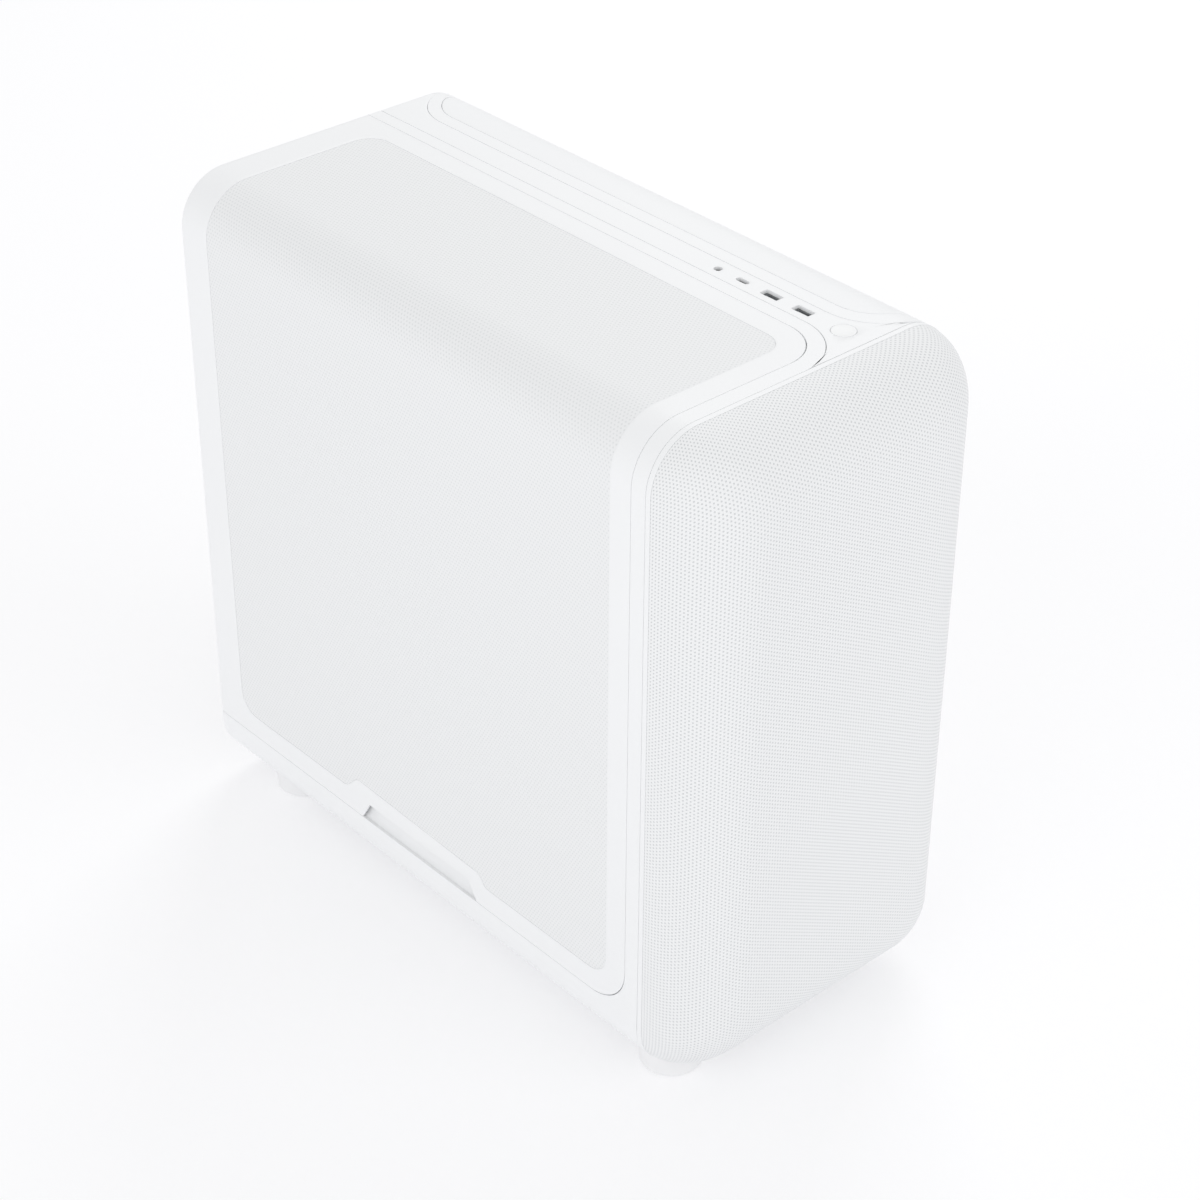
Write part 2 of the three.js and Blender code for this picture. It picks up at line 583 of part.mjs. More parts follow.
// ---- front ports and button, under the top strip ----
function ports() {
  const top = ZT - SKIN - 0.3;
  const floor = top - 14;
  const x = STRIP_X;
  const card = box(x - 8.5, x + 8.5, -190, -58, floor - 1.9, floor - 0.3);
  place('port_card', card, 'board');
  USBA_Y.forEach((y, i) => {
    let shell = box(x - 3.5, x + 3.5, y - 7.2, y + 7.2, floor, top);
    shell = shell.subtract(box(x - 2.7, x + 2.7, y - 6.4, y + 6.4, floor + 3, top + 1));
    shell = shell.add(box(x - 1.9, x - 0.1, y - 5.4, y + 5.4, floor + 2, top - 1.5));
    place(`usb_a_${i + 1}`, shell, 'steel');
  });
  let c = prism('z', rounded(x - 2.3, x + 2.3, USBC_Y - 5.2, USBC_Y + 5.2, [2.2, 2.2, 2.2, 2.2]), floor, top, 4);
  c = c.subtract(prism('z', rounded(x - 1.6, x + 1.6, USBC_Y - 4.5, USBC_Y + 4.5, [1.5, 1.5, 1.5, 1.5]),
    floor + 3, top + 1, 4));
  c = c.add(box(x - 0.35, x + 0.35, USBC_Y - 3.4, USBC_Y + 3.4, floor + 2, top - 1.2));
  place('usb_c', c, 'steel');
  const jack = box(x - 4, x + 4, JACK_Y - 4, JACK_Y + 4, floor, top);
  place('headset_jack', jack.subtract(disc('z', x, JACK_Y, 1.9, floor + 2, top + 1, 12)), 'black_plastic');
  let cap = disc('z', x, POWER_Y, POWER_R, ZT - 6, ZT, 24);
  cap = cap.add(disc('z', x, POWER_Y, 2, floor + 5.5, ZT - 5, 8));
  place('power_button', cap, 'white_plastic');
  place('button_switch', box(x - 3, x + 3, POWER_Y - 3, POWER_Y + 3, floor, floor + 4), 'black_plastic');
}

function drive() {
  place('drive', box(-95, -25, -140, -40, SHROUD_Z + 1.7, SHROUD_Z + 8.7), 'dark_metal');
}

leftPanel();
rightPanel();
frames();
topStrip();
frontPanel();
feet();
basePan();
rearWall();
frontWall();
boardTray();
shroud();
fans();
mainboard();
cooler();
slotCovers();
graphicsCard();
powerSupply();
ports();
drive();

export default root;
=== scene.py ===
"""White tower computer with perforated covers: the looks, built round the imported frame."""

import json
import logging
import math
from dataclasses import dataclass
from enum import Enum, auto
from typing import Any, Sequence

import bmesh
import bpy
import numpy as np
from mathutils import Matrix, Vector
from numpy.typing import NDArray

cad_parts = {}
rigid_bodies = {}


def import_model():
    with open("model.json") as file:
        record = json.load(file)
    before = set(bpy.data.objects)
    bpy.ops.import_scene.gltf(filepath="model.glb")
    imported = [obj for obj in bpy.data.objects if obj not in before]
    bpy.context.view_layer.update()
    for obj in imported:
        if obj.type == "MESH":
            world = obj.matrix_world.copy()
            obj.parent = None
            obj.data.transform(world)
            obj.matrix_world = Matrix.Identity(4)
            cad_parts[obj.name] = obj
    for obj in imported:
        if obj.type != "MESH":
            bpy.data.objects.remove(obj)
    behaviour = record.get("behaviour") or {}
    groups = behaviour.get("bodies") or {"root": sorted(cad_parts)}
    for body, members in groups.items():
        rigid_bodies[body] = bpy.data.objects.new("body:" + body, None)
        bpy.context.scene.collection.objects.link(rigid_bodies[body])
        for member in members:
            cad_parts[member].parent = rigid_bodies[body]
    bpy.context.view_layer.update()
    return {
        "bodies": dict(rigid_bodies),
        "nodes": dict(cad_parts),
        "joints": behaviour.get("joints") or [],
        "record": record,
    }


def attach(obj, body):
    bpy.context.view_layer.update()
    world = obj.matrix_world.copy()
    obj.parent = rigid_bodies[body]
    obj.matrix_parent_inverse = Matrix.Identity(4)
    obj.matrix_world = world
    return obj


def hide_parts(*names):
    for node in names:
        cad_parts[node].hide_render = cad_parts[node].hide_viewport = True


Array = NDArray[np.float64]
Pair = tuple[float, float]
Triple = tuple[float, float, float]
Row = Triple                                    # share, offset and depth, for `band`
Block = tuple[Pair, Pair, Pair, float, float]   # the last five arguments of `slab`
log = logging.getLogger("tower")
MM = 0.001
HALF_PI = math.pi / 2
FULL_TURN = 2 * math.pi
UP = np.array([0.0, 0.0, 1.0])
WELD = 2e-6             # points nearer than this, in metres, are one
CREASE = 42.0           # an edge that turns by more degrees stays sharp
FIELD_GAP = 0.08        # millimetres between a rim and its punched field
CORNER = 12             # steps in a rounded corner
ROUGH_SWING = 0.05      # how far the grain moves the roughness each way
BROAD_SCALE = 9.0       # cloudy colour variation, in patches a metre
HOLE_FADE = 0.12        # millimetres over which a punched hole's edge fades


# ---------------------------------------------------------------- colour and nodes

def linear(code: str) -> tuple[float, float, float, float]:
    """Turn an sRGB hex colour into linear light.

    Args:
        code: six hex digits, such as "f2f2f0".

    Returns:
        Red, green, blue and alpha, each from 0 to 1.
    """
    parts = [int(code[i:i + 2], 16) / 255 for i in (0, 2, 4)]
    flat = [c / 12.92 if c <= 0.04045 else ((c + 0.055) / 1.055) ** 2.4 for c in parts]
    return flat[0], flat[1], flat[2], 1.0


def put(tree: bpy.types.NodeTree, kind: str, feeds: dict[Any, Any] | None = None,
        **settings: Any) -> bpy.types.Node:
    """Add one node with its settings and links.

    Args:
        tree: the node tree that takes it.
        kind: the node's type name, without the ShaderNode prefix.
        feeds: input name or number, and the value or socket that goes into it.
        settings: the node's own properties.

    Returns:
        The new node.
    """
    node = tree.nodes.new("ShaderNode" + kind)
    for key, value in settings.items():
        setattr(node, key, value)
    for key, value in (feeds or {}).items():
        if isinstance(value, bpy.types.NodeSocket):
            tree.links.new(value, node.inputs[key])
        else:
            node.inputs[key].default_value = value
    return node


class Grain(Enum):
    """The fine relief that a way of making leaves on a surface."""
    POWDER = auto()      # orange peel of a baked powder coat
    SPARK = auto()       # spark-eroded mould texture
    BRUSHED = auto()     # fine parallel scratches
    WOVEN = auto()       # plain weave
    PUNCHED = auto()     # staggered round holes
    ETCHED = auto()      # printed circuit tracks under solder mask


@dataclass(frozen=True)
class Finish:
    """One finish: what a piece is made of and how its surface was made.

    size_mm is the spacing of the grain, depth_mm its relief, second and spread the
    colour that the grain brings in and how much of it; in a punched finish second is
    painted shade that fills the holes.
    """
    name: str
    colour: str
    roughness: float
    grain: Grain
    size_mm: float
    depth_mm: float
    second: str = "ffffff"
    spread: float = 0.0
    metallic: float = 0.0
    ior: float = 1.5
    sheen: float = 0.0
    hole_mm: float = 0.0
    glow: float = 0.0

    def material(self) -> bpy.types.Material:
        """Make the node material, or return the one already made.

        Returns:
            The material.
        """
        found = bpy.data.materials.get(self.name)
        if found is not None:
            return found
        made = bpy.data.materials.new(self.name)
        made.use_nodes = True
        tree = made.node_tree
        tree.nodes.clear()
        height, amount = self._relief(tree)
        bump = put(tree, "Bump", {"Height": height, "Distance": self.depth_mm * MM, "Strength": 1.0})
        feeds: dict[Any, Any] = {"Metallic": self.metallic, "Normal": bump.outputs[0],
                                 "Base Color": linear(self.colour)}
        if self.metallic < 0.5:
            feeds["IOR"] = self.ior
        if self.sheen:
            feeds["Sheen Weight"] = self.sheen
        if self.glow:
            feeds["Emission Color"] = linear(self.colour)
            feeds["Emission Strength"] = self.glow
        if self.spread:
            part = put(tree, "Math", {0: amount, 1: self.spread}, operation="MULTIPLY")
            mix = put(tree, "Mix", {0: part.outputs[0], 6: linear(self.colour),
                                    7: linear(self.second)}, data_type="RGBA")
            feeds["Base Color"] = mix.outputs[2]
        rough = put(tree, "MapRange", {0: height, 3: self.roughness - ROUGH_SWING,
                                      4: self.roughness + ROUGH_SWING})
        feeds["Roughness"] = rough.outputs[0]
        shader = put(tree, "BsdfPrincipled", feeds)
        put(tree, "OutputMaterial", {"Surface": shader.outputs[0]})
        return made

    def _relief(self, tree: bpy.types.NodeTree) -> tuple[bpy.types.NodeSocket, bpy.types.NodeSocket]:
        """Build the grain.

        Args:
            tree: the node tree that takes it.

        Returns:
            The height and the share of the second colour, both 0 to 1.
        """
        place = put(tree, "TexCoord")
        here = place.outputs["Object"]
        per_m = 1000.0 / self.size_mm
        if self.grain is Grain.PUNCHED:
            return self._holes(tree, place.outputs["UV"])
        if self.grain is Grain.BRUSHED:
            stretch = put(tree, "Mapping", {0: here, 3: (0.02, 1.0, 1.0)})
            scratch = put(tree, "TexNoise", {"Vector": stretch.outputs[0], "Scale": per_m, "Detail": 3.0})
            cloud = put(tree, "TexNoise", {"Vector": here, "Scale": per_m * 0.03})
            return scratch.outputs[0], cloud.outputs[0]
        if self.grain is Grain.WOVEN:
            warp = put(tree, "TexWave", {"Vector": here, "Scale": per_m * 0.5}, bands_direction="X")
            weft = put(tree, "TexWave", {"Vector": here, "Scale": per_m * 0.5}, bands_direction="Z")
            both = put(tree, "Math", {0: warp.outputs[1], 1: weft.outputs[1]}, operation="MAXIMUM")
            gaps = put(tree, "Math", {0: 1.0, 1: both.outputs[0]}, operation="SUBTRACT")
            return both.outputs[0], gaps.outputs[0]
        if self.grain is Grain.ETCHED:
            track = put(tree, "TexVoronoi", {"Vector": here, "Scale": per_m, "Randomness": 0.85},
                        distance="MANHATTAN", feature="F1")
            line = put(tree, "MapRange", {0: track.outputs[0], 1: 0.42, 2: 0.5})
            return line.outputs[0], line.outputs[0]
        fine = put(tree, "TexNoise", {"Vector": here, "Scale": per_m,
                                      "Detail": 4.0 if self.grain is Grain.SPARK else 1.5})
        broad = put(tree, "TexNoise", {"Vector": here, "Scale": BROAD_SCALE, "Detail": 3.0})
        return fine.outputs[0], broad.outputs[0]

    def _holes(self, tree: bpy.types.NodeTree,
               flat: bpy.types.NodeSocket) -> tuple[bpy.types.NodeSocket, bpy.types.NodeSocket]:
        """Lay staggered round holes over the piece's own map, which is in millimetres.

        A point's distance to the nearest hole is the smaller of its distances to two
        rectangular rows of centres, the second shifted by half a step each way.

        Args:
            tree: the node tree that takes it.
            flat: the map's socket.

        Returns:
            The height, 0 in a hole, and the share of hole, which mixes in the second colour as painted shade in
            the holes.
        """
        step = (self.size_mm * math.sqrt(3), self.size_mm, 1.0)
        half = tuple(v / 2 for v in step)
        gaps = []
        for shift in ((0.0, 0.0, 0.0), half):
            moved = put(tree, "VectorMath", {0: flat, 1: shift}, operation="ADD")
            cell = put(tree, "VectorMath", {0: moved.outputs[0], 1: half,
                                            2: tuple(-v for v in half)}, operation="WRAP")
            level = put(tree, "VectorMath", {0: cell.outputs[0], 1: (1.0, 1.0, 0.0)}, operation="MULTIPLY")
            gaps.append(put(tree, "VectorMath", {0: level.outputs[0]}, operation="LENGTH").outputs[1])
        near = put(tree, "Math", {0: gaps[0], 1: gaps[1]}, operation="MINIMUM")
        rim = self.hole_mm / 2
        ends = {0: near.outputs[0], 1: rim - HOLE_FADE, 2: rim + HOLE_FADE}
        metal = put(tree, "MapRange", ends)
        # the share of hole brings in the second colour: painted shade where the filter behind would show
        hole = put(tree, "MapRange", {**ends, 3: 1.0, 4: 0.0})
        return metal.outputs[0], hole.outputs[0]


class Finishes:
    """Every finish on the object, named for its material and how it was made; the punched ones also carry
    painted shade in their holes.
    """
    # satin white baked coat over folded steel: soft highlights, a faint orange peel
    panel = Finish("powder_coated_steel", "f1f2f3", 0.5, Grain.POWDER, 1.6, 0.004, "edeef0", 0.6)
    # the same coat over punched sheet; the holes are not cut but painted a darker grey, painted shade that
    # stands for the pale filter behind them in shade
    mesh = Finish("powder_coated_punched_steel_hole_shade", "edeeef", 0.55, Grain.PUNCHED, 2.65, 0.05,
                  "cfd1d3", 1.0, hole_mm=1.2)
    # the side's holes are painted shade too, lighter here because the pale screen lies nearer behind them
    side_mesh = Finish("powder_coated_punched_side_hole_shade", "ebeced", 0.55, Grain.PUNCHED, 2.65, 0.04,
                       "dfe1e2", 1.0, hole_mm=1.2)
    # injection moulded ABS out of a spark-eroded mould: matt, almost no highlight
    shell = Finish("moulded_abs_white", "f1f2f3", 0.48, Grain.SPARK, 0.7, 0.006, "eeeff1", 0.6)
    button = Finish("moulded_abs_button", "eff0f1", 0.42, Grain.SPARK, 0.6, 0.004, "eceded", 0.6)
    # plain woven nylon screen, threads drawn at 1.1 mm so that they show
    cloth = Finish("woven_nylon_filter", "dcdddf", 0.85, Grain.WOVEN, 1.1, 0.12, "8f9194", 0.7, sheen=0.2)
    screen = Finish("moulded_filter_frame", "3a3b3d", 0.6, Grain.WOVEN, 1.4, 0.15, "1a1a1b", 0.8)
    chassis = Finish("powder_coated_chassis", "e6e7e9", 0.55, Grain.POWDER, 1.4, 0.006, "dfe1e3", 0.7)
    rubber = Finish("moulded_elastomer", "f0f0f1", 0.7, Grain.SPARK, 0.5, 0.01, "eaebec", 0.6)
    fan = Finish("moulded_pbt_frame", "e4e5e7", 0.5, Grain.SPARK, 0.8, 0.006, "dcdee0", 0.6)
    blade = Finish("moulded_pbt_blade", "eceded", 0.35, Grain.POWDER, 3.0, 0.003, "e2e4e6", 0.5)
    dark_blade = Finish("moulded_pbt_black", "17181a", 0.42, Grain.SPARK, 0.8, 0.006, "242528", 0.6)
    board = Finish("printed_circuit_board", "16191d", 0.45, Grain.ETCHED, 3.2, 0.03, "2b3138", 0.8)
    shield = Finish("stainless_pressed_sheet", "b7babd", 0.34, Grain.BRUSHED, 0.4, 0.003, "a2a5a8", 0.5,
                    metallic=1.0)
    plated = Finish("nickel_plated_steel", "a9abad", 0.3, Grain.POWDER, 0.9, 0.002, "8e9093", 0.5,
                    metallic=1.0)
    black = Finish("moulded_pbt_socket", "141415", 0.5, Grain.SPARK, 0.5, 0.006, "1f2022", 0.6)
    spreader = Finish("anodised_aluminium_spreader", "c9cccf", 0.38, Grain.BRUSHED, 0.5, 0.004, "b4b7ba",
                      0.6, metallic=0.9)
    fins = Finish("rolled_aluminium_fin", "d2d5d8", 0.3, Grain.BRUSHED, 0.6, 0.003, "b9bdc1", 0.6,
                  metallic=1.0)
    shroud = Finish("moulded_abs_shroud", "e3e4e6", 0.45, Grain.SPARK, 0.7, 0.006, "d9dbdd", 0.6)
    can = Finish("powder_coated_can", "1d1e20", 0.5, Grain.POWDER, 1.2, 0.012, "28292c", 0.6)
    core = Finish("transformer_lacquer", "3b3420", 0.55, Grain.SPARK, 2.0, 0.05, "1c1a12", 0.9)
    case = Finish("cast_drive_case", "3a3c3f", 0.42, Grain.BRUSHED, 0.7, 0.006, "2a2c2e", 0.6,
                  metallic=0.7)
    copper = Finish("drawn_copper_pipe", "c98a5e", 0.28, Grain.BRUSHED, 0.6, 0.002, "b0714a", 0.5,
                    metallic=1.0)


# ---------------------------------------------------------------- surfaces

class Surface:
    """Gathers grids of points into one closed mesh."""

    def __init__(self) -> None:
        """Start empty."""
        self.points: list[Array] = []
        self.maps: list[Array] = []
        self.quads: list[NDArray[np.int64]] = []
        self.count = 0

    def grid(self, p: Array, flat: Array | None = None, wrap_rows: bool = False,
             wrap_cols: bool = False) -> None:
        """Add a grid of quads.

        Args:
            p: rows x columns x 3 points, millimetres.
            flat: rows x columns x 2 map in millimetres, or none.
            wrap_rows: the last row joins the first.
            wrap_cols: the last column joins the first.
        """
        n, m = p.shape[:2]
        ids = np.arange(n * m).reshape(n, m) + self.count
        if wrap_rows:
            ids = np.vstack([ids, ids[:1]])
        if wrap_cols:
            ids = np.hstack([ids, ids[:, :1]])
        quad = np.stack([ids[:-1, :-1], ids[1:, :-1], ids[1:, 1:], ids[:-1, 1:]], axis=-1)
        self.quads.append(quad.reshape(-1, 4))
        self.points.append(p.reshape(-1, 3))
        self.maps.append(np.zeros((n * m, 2)) if flat is None else flat.reshape(-1, 2))
        self.count += n * m

    def cap(self, loop: Array, centre: Array | None = None) -> None:
        """Close a loop of points with a fan to its middle, drawn as a grid that shrinks to a point.

        Args:
            loop: n x 3 points.
            centre: the middle, or none for the loop's own.
        """
        mid = loop.mean(axis=0) if centre is None else centre
        self.grid(np.stack([loop, np.broadcast_to(mid, loop.shape)]), wrap_cols=True)

    def tube(self, rings: Array) -> None:
        """Add rings joined along their rows, and close both ends.

        Args:
            rings: rows x points x 3.
        """
        self.grid(rings, wrap_cols=True)
        self.cap(rings[0])
        self.cap(rings[-1])

    def build(self, name: str, finish: Finish, crease: float = CREASE) -> bpy.types.Object:
        """Weld the grids, turn the faces outwards and make the object.

        Args:
            name: the object's name.
            finish: what it is dressed in.
            crease: the angle in degrees past which an edge stays sharp.

        Returns:
            The new object, at the origin.
        """
        pts = np.concatenate(self.points)
        flat = np.concatenate(self.maps)
        quads = np.concatenate(self.quads)
        mesh = bpy.data.meshes.new(name)
        mesh.vertices.add(len(pts))
        mesh.vertices.foreach_set("co", (pts * MM).ravel())
        mesh.loops.add(quads.size)
        mesh.loops.foreach_set("vertex_index", quads.ravel().astype(np.int32))
        mesh.polygons.add(len(quads))
        mesh.polygons.foreach_set("loop_start", np.arange(0, quads.size, 4, dtype=np.int32))
        mesh.update(calc_edges=True)
        layer = mesh.uv_layers.new(name="UVMap")
        layer.data.foreach_set("uv", flat[quads.ravel()].ravel())
        work = bmesh.new()
        work.from_mesh(mesh)
        bmesh.ops.remove_doubles(work, verts=work.verts, dist=WELD)
        bmesh.ops.dissolve_degenerate(work, edges=work.edges, dist=WELD / 2)
        bmesh.ops.recalc_face_normals(work, faces=work.faces)
        open_edges = sum(1 for e in work.edges if len(e.link_faces) != 2)
        work.to_mesh(mesh)
        work.free()
        mesh.shade_smooth()
        mesh.set_sharp_from_angle(angle=math.radians(crease))
        made = bpy.data.objects.new(name, mesh)
        bpy.context.scene.collection.objects.link(made)
        mesh.materials.append(finish.material())
        log.info("%s: %d faces, %d open edges", name, len(mesh.polygons), open_edges)
        return made

    def make(self, name: str, finish: Finish, body: str, slot: str, *nodes: str,
             crease: float = CREASE) -> bpy.types.Object:
        """Build the piece and join it to the frame.

        Args:
            name: the object's name.
            finish: what it is dressed in.
            body: the CAD body that it rides on.
            slot: the record's material slot for its finish; not used.
            nodes: the CAD nodes that it stands for, which are hidden.
            crease: the angle in degrees past which an edge stays sharp.

        Returns:
            The new object, at the origin.
        """
        made = self.build(name, finish, crease)
        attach(made, body)
        if nodes:
            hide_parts(*nodes)
        return made


def spread(start: float, end: float, count: int) -> Array:
    """Evenly spaced values between two ends, both left out."""
    return np.linspace(start, end, count + 2)[1:-1]


def rounded_loop(low: Pair, high: Pair, radii: Sequence[float],
                 along: Sequence[Array], turn: int = CORNER) -> Array:
    """Walk round a rectangle with rounded corners, from the middle of its low-low corner.

    On side k the walk goes from corner k to corner k + 1. A point there is the mix, by its
    share f, of the two corner centres, plus the mix of their radii times its outward normal.

    Args:
        low: lowest first and second coordinate.
        high: highest first and second coordinate.
        radii: corner radii at low-low, high-low, high-high and low-high.
        along: for each side, the shares f strictly between 0 and 1.
        turn: steps in each corner.

    Returns:
        n x 2 points.
    """
    rows = []
    lo, hi = np.array(low), np.array(high)
    signs = np.array([(0, 0), (1, 0), (1, 1), (0, 1)], dtype=float)
    for k in range(4):
        a, b = k, (k + 1) % 4
        ra, rb = radii[a], radii[b]
        ca = lo + signs[a] * (hi - lo) + (1 - 2 * signs[a]) * ra
        cb = lo + signs[b] * (hi - lo) + (1 - 2 * signs[b]) * rb
        base = -HALF_PI + k * HALF_PI
        half = turn // 2
        f = np.concatenate([np.zeros(half + 1), along[k], np.ones(half)])
        angle = base + np.concatenate([np.linspace(-HALF_PI / 2, 0, half + 1),
                                       np.zeros(len(along[k])),
                                       np.linspace(0, HALF_PI / 2, half + 1)[:-1]])
        face = np.stack([np.cos(angle), np.sin(angle)], axis=-1)
        rows.append(ca + f[:, None] * (cb - ca) + (ra + f * (rb - ra))[:, None] * face)
    return np.concatenate(rows)


def coons(loop: Array, n: int, m: int) -> Array:
    """Fill a closed loop with a grid that blends its four sides linearly.

    Inside, a point is the blend of the two sides across, plus the blend of the two sides
    along, less the blend of the four corners.

    Args:
        loop: 2 (n + m) points, starting at a corner and running along the first side.
        n: steps along the first and third side.
        m: steps along the second and fourth side.

    Returns:
        (m + 1) x (n + 1) x k points.
    """
    closed = np.concatenate([loop, loop[:1]])
    low, right = closed[:n + 1], closed[n:n + m + 1]
    top, left = closed[n + m:2 * n + m + 1][::-1], closed[2 * n + m:][::-1]
    u = np.linspace(0, 1, n + 1)[None, :, None]
    v = np.linspace(0, 1, m + 1)[:, None, None]
    return ((1 - v) * low[None] + v * top[None] + (1 - u) * left[:, None] + u * right[:, None]
            - (1 - u) * (1 - v) * low[0] - u * (1 - v) * low[-1] - (1 - u) * v * top[0] - u * v * top[-1])


@dataclass(frozen=True)
class Shell:
    """The outer form, millimetres: a rounded box whose section shrinks into the front."""
    half: float = 120.0
    low: float = 12.0
    high: float = 472.0
    edge: float = 35.0
    bend: float = -196.0
    nose: float = 50.0
    rear: float = 246.0

    @property
    def over(self) -> float:
        """Where the unrolled side reaches the flat top."""
        return self.high - self.edge + self.edge * HALF_PI

    @property
    def under(self) -> float:
        """Where the unrolled side reaches the flat underside."""
        return self.low + self.edge - self.edge * HALF_PI

    def top(self, x: float) -> float:
        """The unrolled height of a point on the flat top, x being its distance out from the middle."""
        return self.over + self.half - self.edge - x

    def wrap(self, side: float, flat: Array, depth: Array | float) -> Array:
        """Bend the unrolled side round the long edges.

        Up the flat side the height is s. Past the side's end the angle a = (s - end) / r turns
        a quarter round the edge, and beyond that the sheet runs flat across the top or underside.

        Args:
            side: -1 for the left, 1 for the right.
            flat: ... x 2, with y and the unrolled height s.
            depth: how far under the outer face.

        Returns:
            ... x 3 points.
        """
        y, s = flat[..., 0], flat[..., 1]
        r = self.edge - depth
        hi, lo = self.high - self.edge, self.low + self.edge
        a = np.clip((s - hi) / self.edge, 0, HALF_PI)
        b = np.clip((lo - s) / self.edge, 0, HALF_PI)
        past = np.maximum(s - self.over, 0) + np.maximum(self.under - s, 0)
        out = self.half - self.edge + r * np.cos(a) * np.cos(b) - past
        z = np.clip(s, lo, hi) + r * (np.sin(a) - np.sin(b))
        return np.stack([side * out, y + 0 * out, z], axis=-1)

    def round_nose(self, way: Array, run: Array, depth: Array | float) -> Array:
        """A point on the rounding into the front.

        The turn t = run / nose shrinks the section by nose (1 - cos t) and carries it forward
        by nose sin t, while the corner radius falls by 0.4 of the shrinking.

        Args:
            way: n x 4, the corner share (x, z) from -1 to 1 and the outward normal (x, z).
            run: rows x n distances along the rounding.
            depth: how far under the outer face.

        Returns:
            rows x n x 3 points.
        """
        t = run / self.nose
        cut = self.nose * (1 - np.cos(t))
        rad = self.edge - 0.4 * cut
        mid = (self.low + self.high) / 2
        tall = (self.high - self.low) / 2
        x = way[:, 0] * (self.half - cut - rad) + way[:, 2] * (rad - depth * np.cos(t))
        z = mid + way[:, 1] * (tall - cut - rad) + way[:, 3] * (rad - depth * np.cos(t))
        y = self.bend - self.nose * np.sin(t) + depth * np.sin(t)
        return np.stack([x, y + 0 * x, z], axis=-1)


SHELL = Shell()


def lip(depth: float, soft: float, back: float) -> list[Row]:
    """The rows of a rounded outer lip, from the back of the sheet up to its face.

    Args:
        depth: depth of the face.
        soft: radius of the lip.
        back: depth of the back.

    Returns:
        Rows of share, offset and depth for `band`.
    """
    turn = np.linspace(0, HALF_PI, 4)
    curve = zip(soft * (1 - np.cos(turn)), depth + soft * (1 - np.sin(turn)))
    return [(0.0, 0.0, back)] + [(0.0, float(offset), float(level)) for offset, level in curve]


def mirrored(rows: Sequence[Row]) -> list[Row]:
    """The same lip on the inner line."""
    return [(1.0, -o, d) for _, o, d in reversed(rows)]


def band(outer: Array, inner: Array, rows: Sequence[Row]) -> tuple[Array, Array]:
    """Carry a closed section along two lines drawn on the unrolled sheet.

    A point is outer + (inner - outer) (share + offset / gap), where gap is the distance
    between the two lines there.

    Args:
        outer: n x 2 line.
        inner: n x 2 line.
        rows: share, offset and depth of each point of the section.

    Returns:
        rows x n x 2 places on the sheet and rows x 1 depths.
    """
    gap = np.linalg.norm(inner - outer, axis=1)
    share = np.array([r[0] for r in rows])[:, None]
    offset = np.array([r[1] for r in rows])[:, None]
    depth = np.array([r[2] for r in rows])[:, None]
    place = outer[None] + (inner - outer)[None] * (share + offset / gap[None])[..., None]
    return place, depth


def face_rows(count: int, depth: float) -> list[Row]:
    """Rows across the face, or back again when the count is negative.

    Args:
        count: how many rows, negative to run back.
        depth: their depth.

    Returns:
        Rows for `band`.
    """
    shares = np.linspace(0, 1, abs(count) + 2)[1:-1]
    if count < 0:
        shares = shares[::-1]
    return [(float(f), 0.0, depth) for f in shares]


def inner_edge(thick: float) -> list[Pair]:
    """Offset and depth of the small step where a rim meets its punched field, down to the back."""
    return [(-0.25, 0.0), (-0.05, 0.08), (0.0, 0.3), (0.0, thick)]


def outward(loop: Array) -> Array:
    """Unit normals that point out of a loop walked anticlockwise.

    Args:
        loop: n x 2 points.

    Returns:
        n x 2 unit vectors.
    """
    along = np.roll(loop, -1, axis=0) - np.roll(loop, 1, axis=0)
    out = np.stack([along[:, 1], -along[:, 0]], axis=-1)
    return out / np.maximum(np.linalg.norm(out, axis=1, keepdims=True), 1e-9)


def sheet_rings(loop: Array, soft: float, face: float, back: float) -> list[tuple[Array, float]]:
    """Rings of places and depths that carry a face over its rounded edge to the back.

    Args:
        loop: n x 2 line where the flat of the face ends.
        soft: radius of the edge.
        face: depth of the face.
        back: depth of the back.

    Returns:
        Pairs of a line and its depth, from the face to the back.
    """
    out = outward(loop)
    rings = [(loop + out * soft * math.sin(a), face + soft * (1 - math.cos(a)))
             for a in np.linspace(0, HALF_PI, 4)]
    return rings + [(loop + out * soft, back), (loop, back)]


# ---------------------------------------------------------------- covers and frames

def dense_shares(start: float, end: float, first: Array, last: Array) -> Array:
    """Shares along a side, with set places at both ends of the grip and even steps between them.

    Args:
        start: where the side starts.
        end: where the side ends.
        first: the set places at the grip's front end.
        last: the set places at its rear end.

    Returns:
        Each place less start, over the side's length.
    """
    head = np.linspace(start, first[0], 18)[1:-1]
    middle = np.linspace(first[-1], last[0], 30)[1:-1]
    tail = np.linspace(last[-1], end, 18)[1:-1]
    return (np.concatenate([head, first, middle, last, tail]) - start) / (end - start)


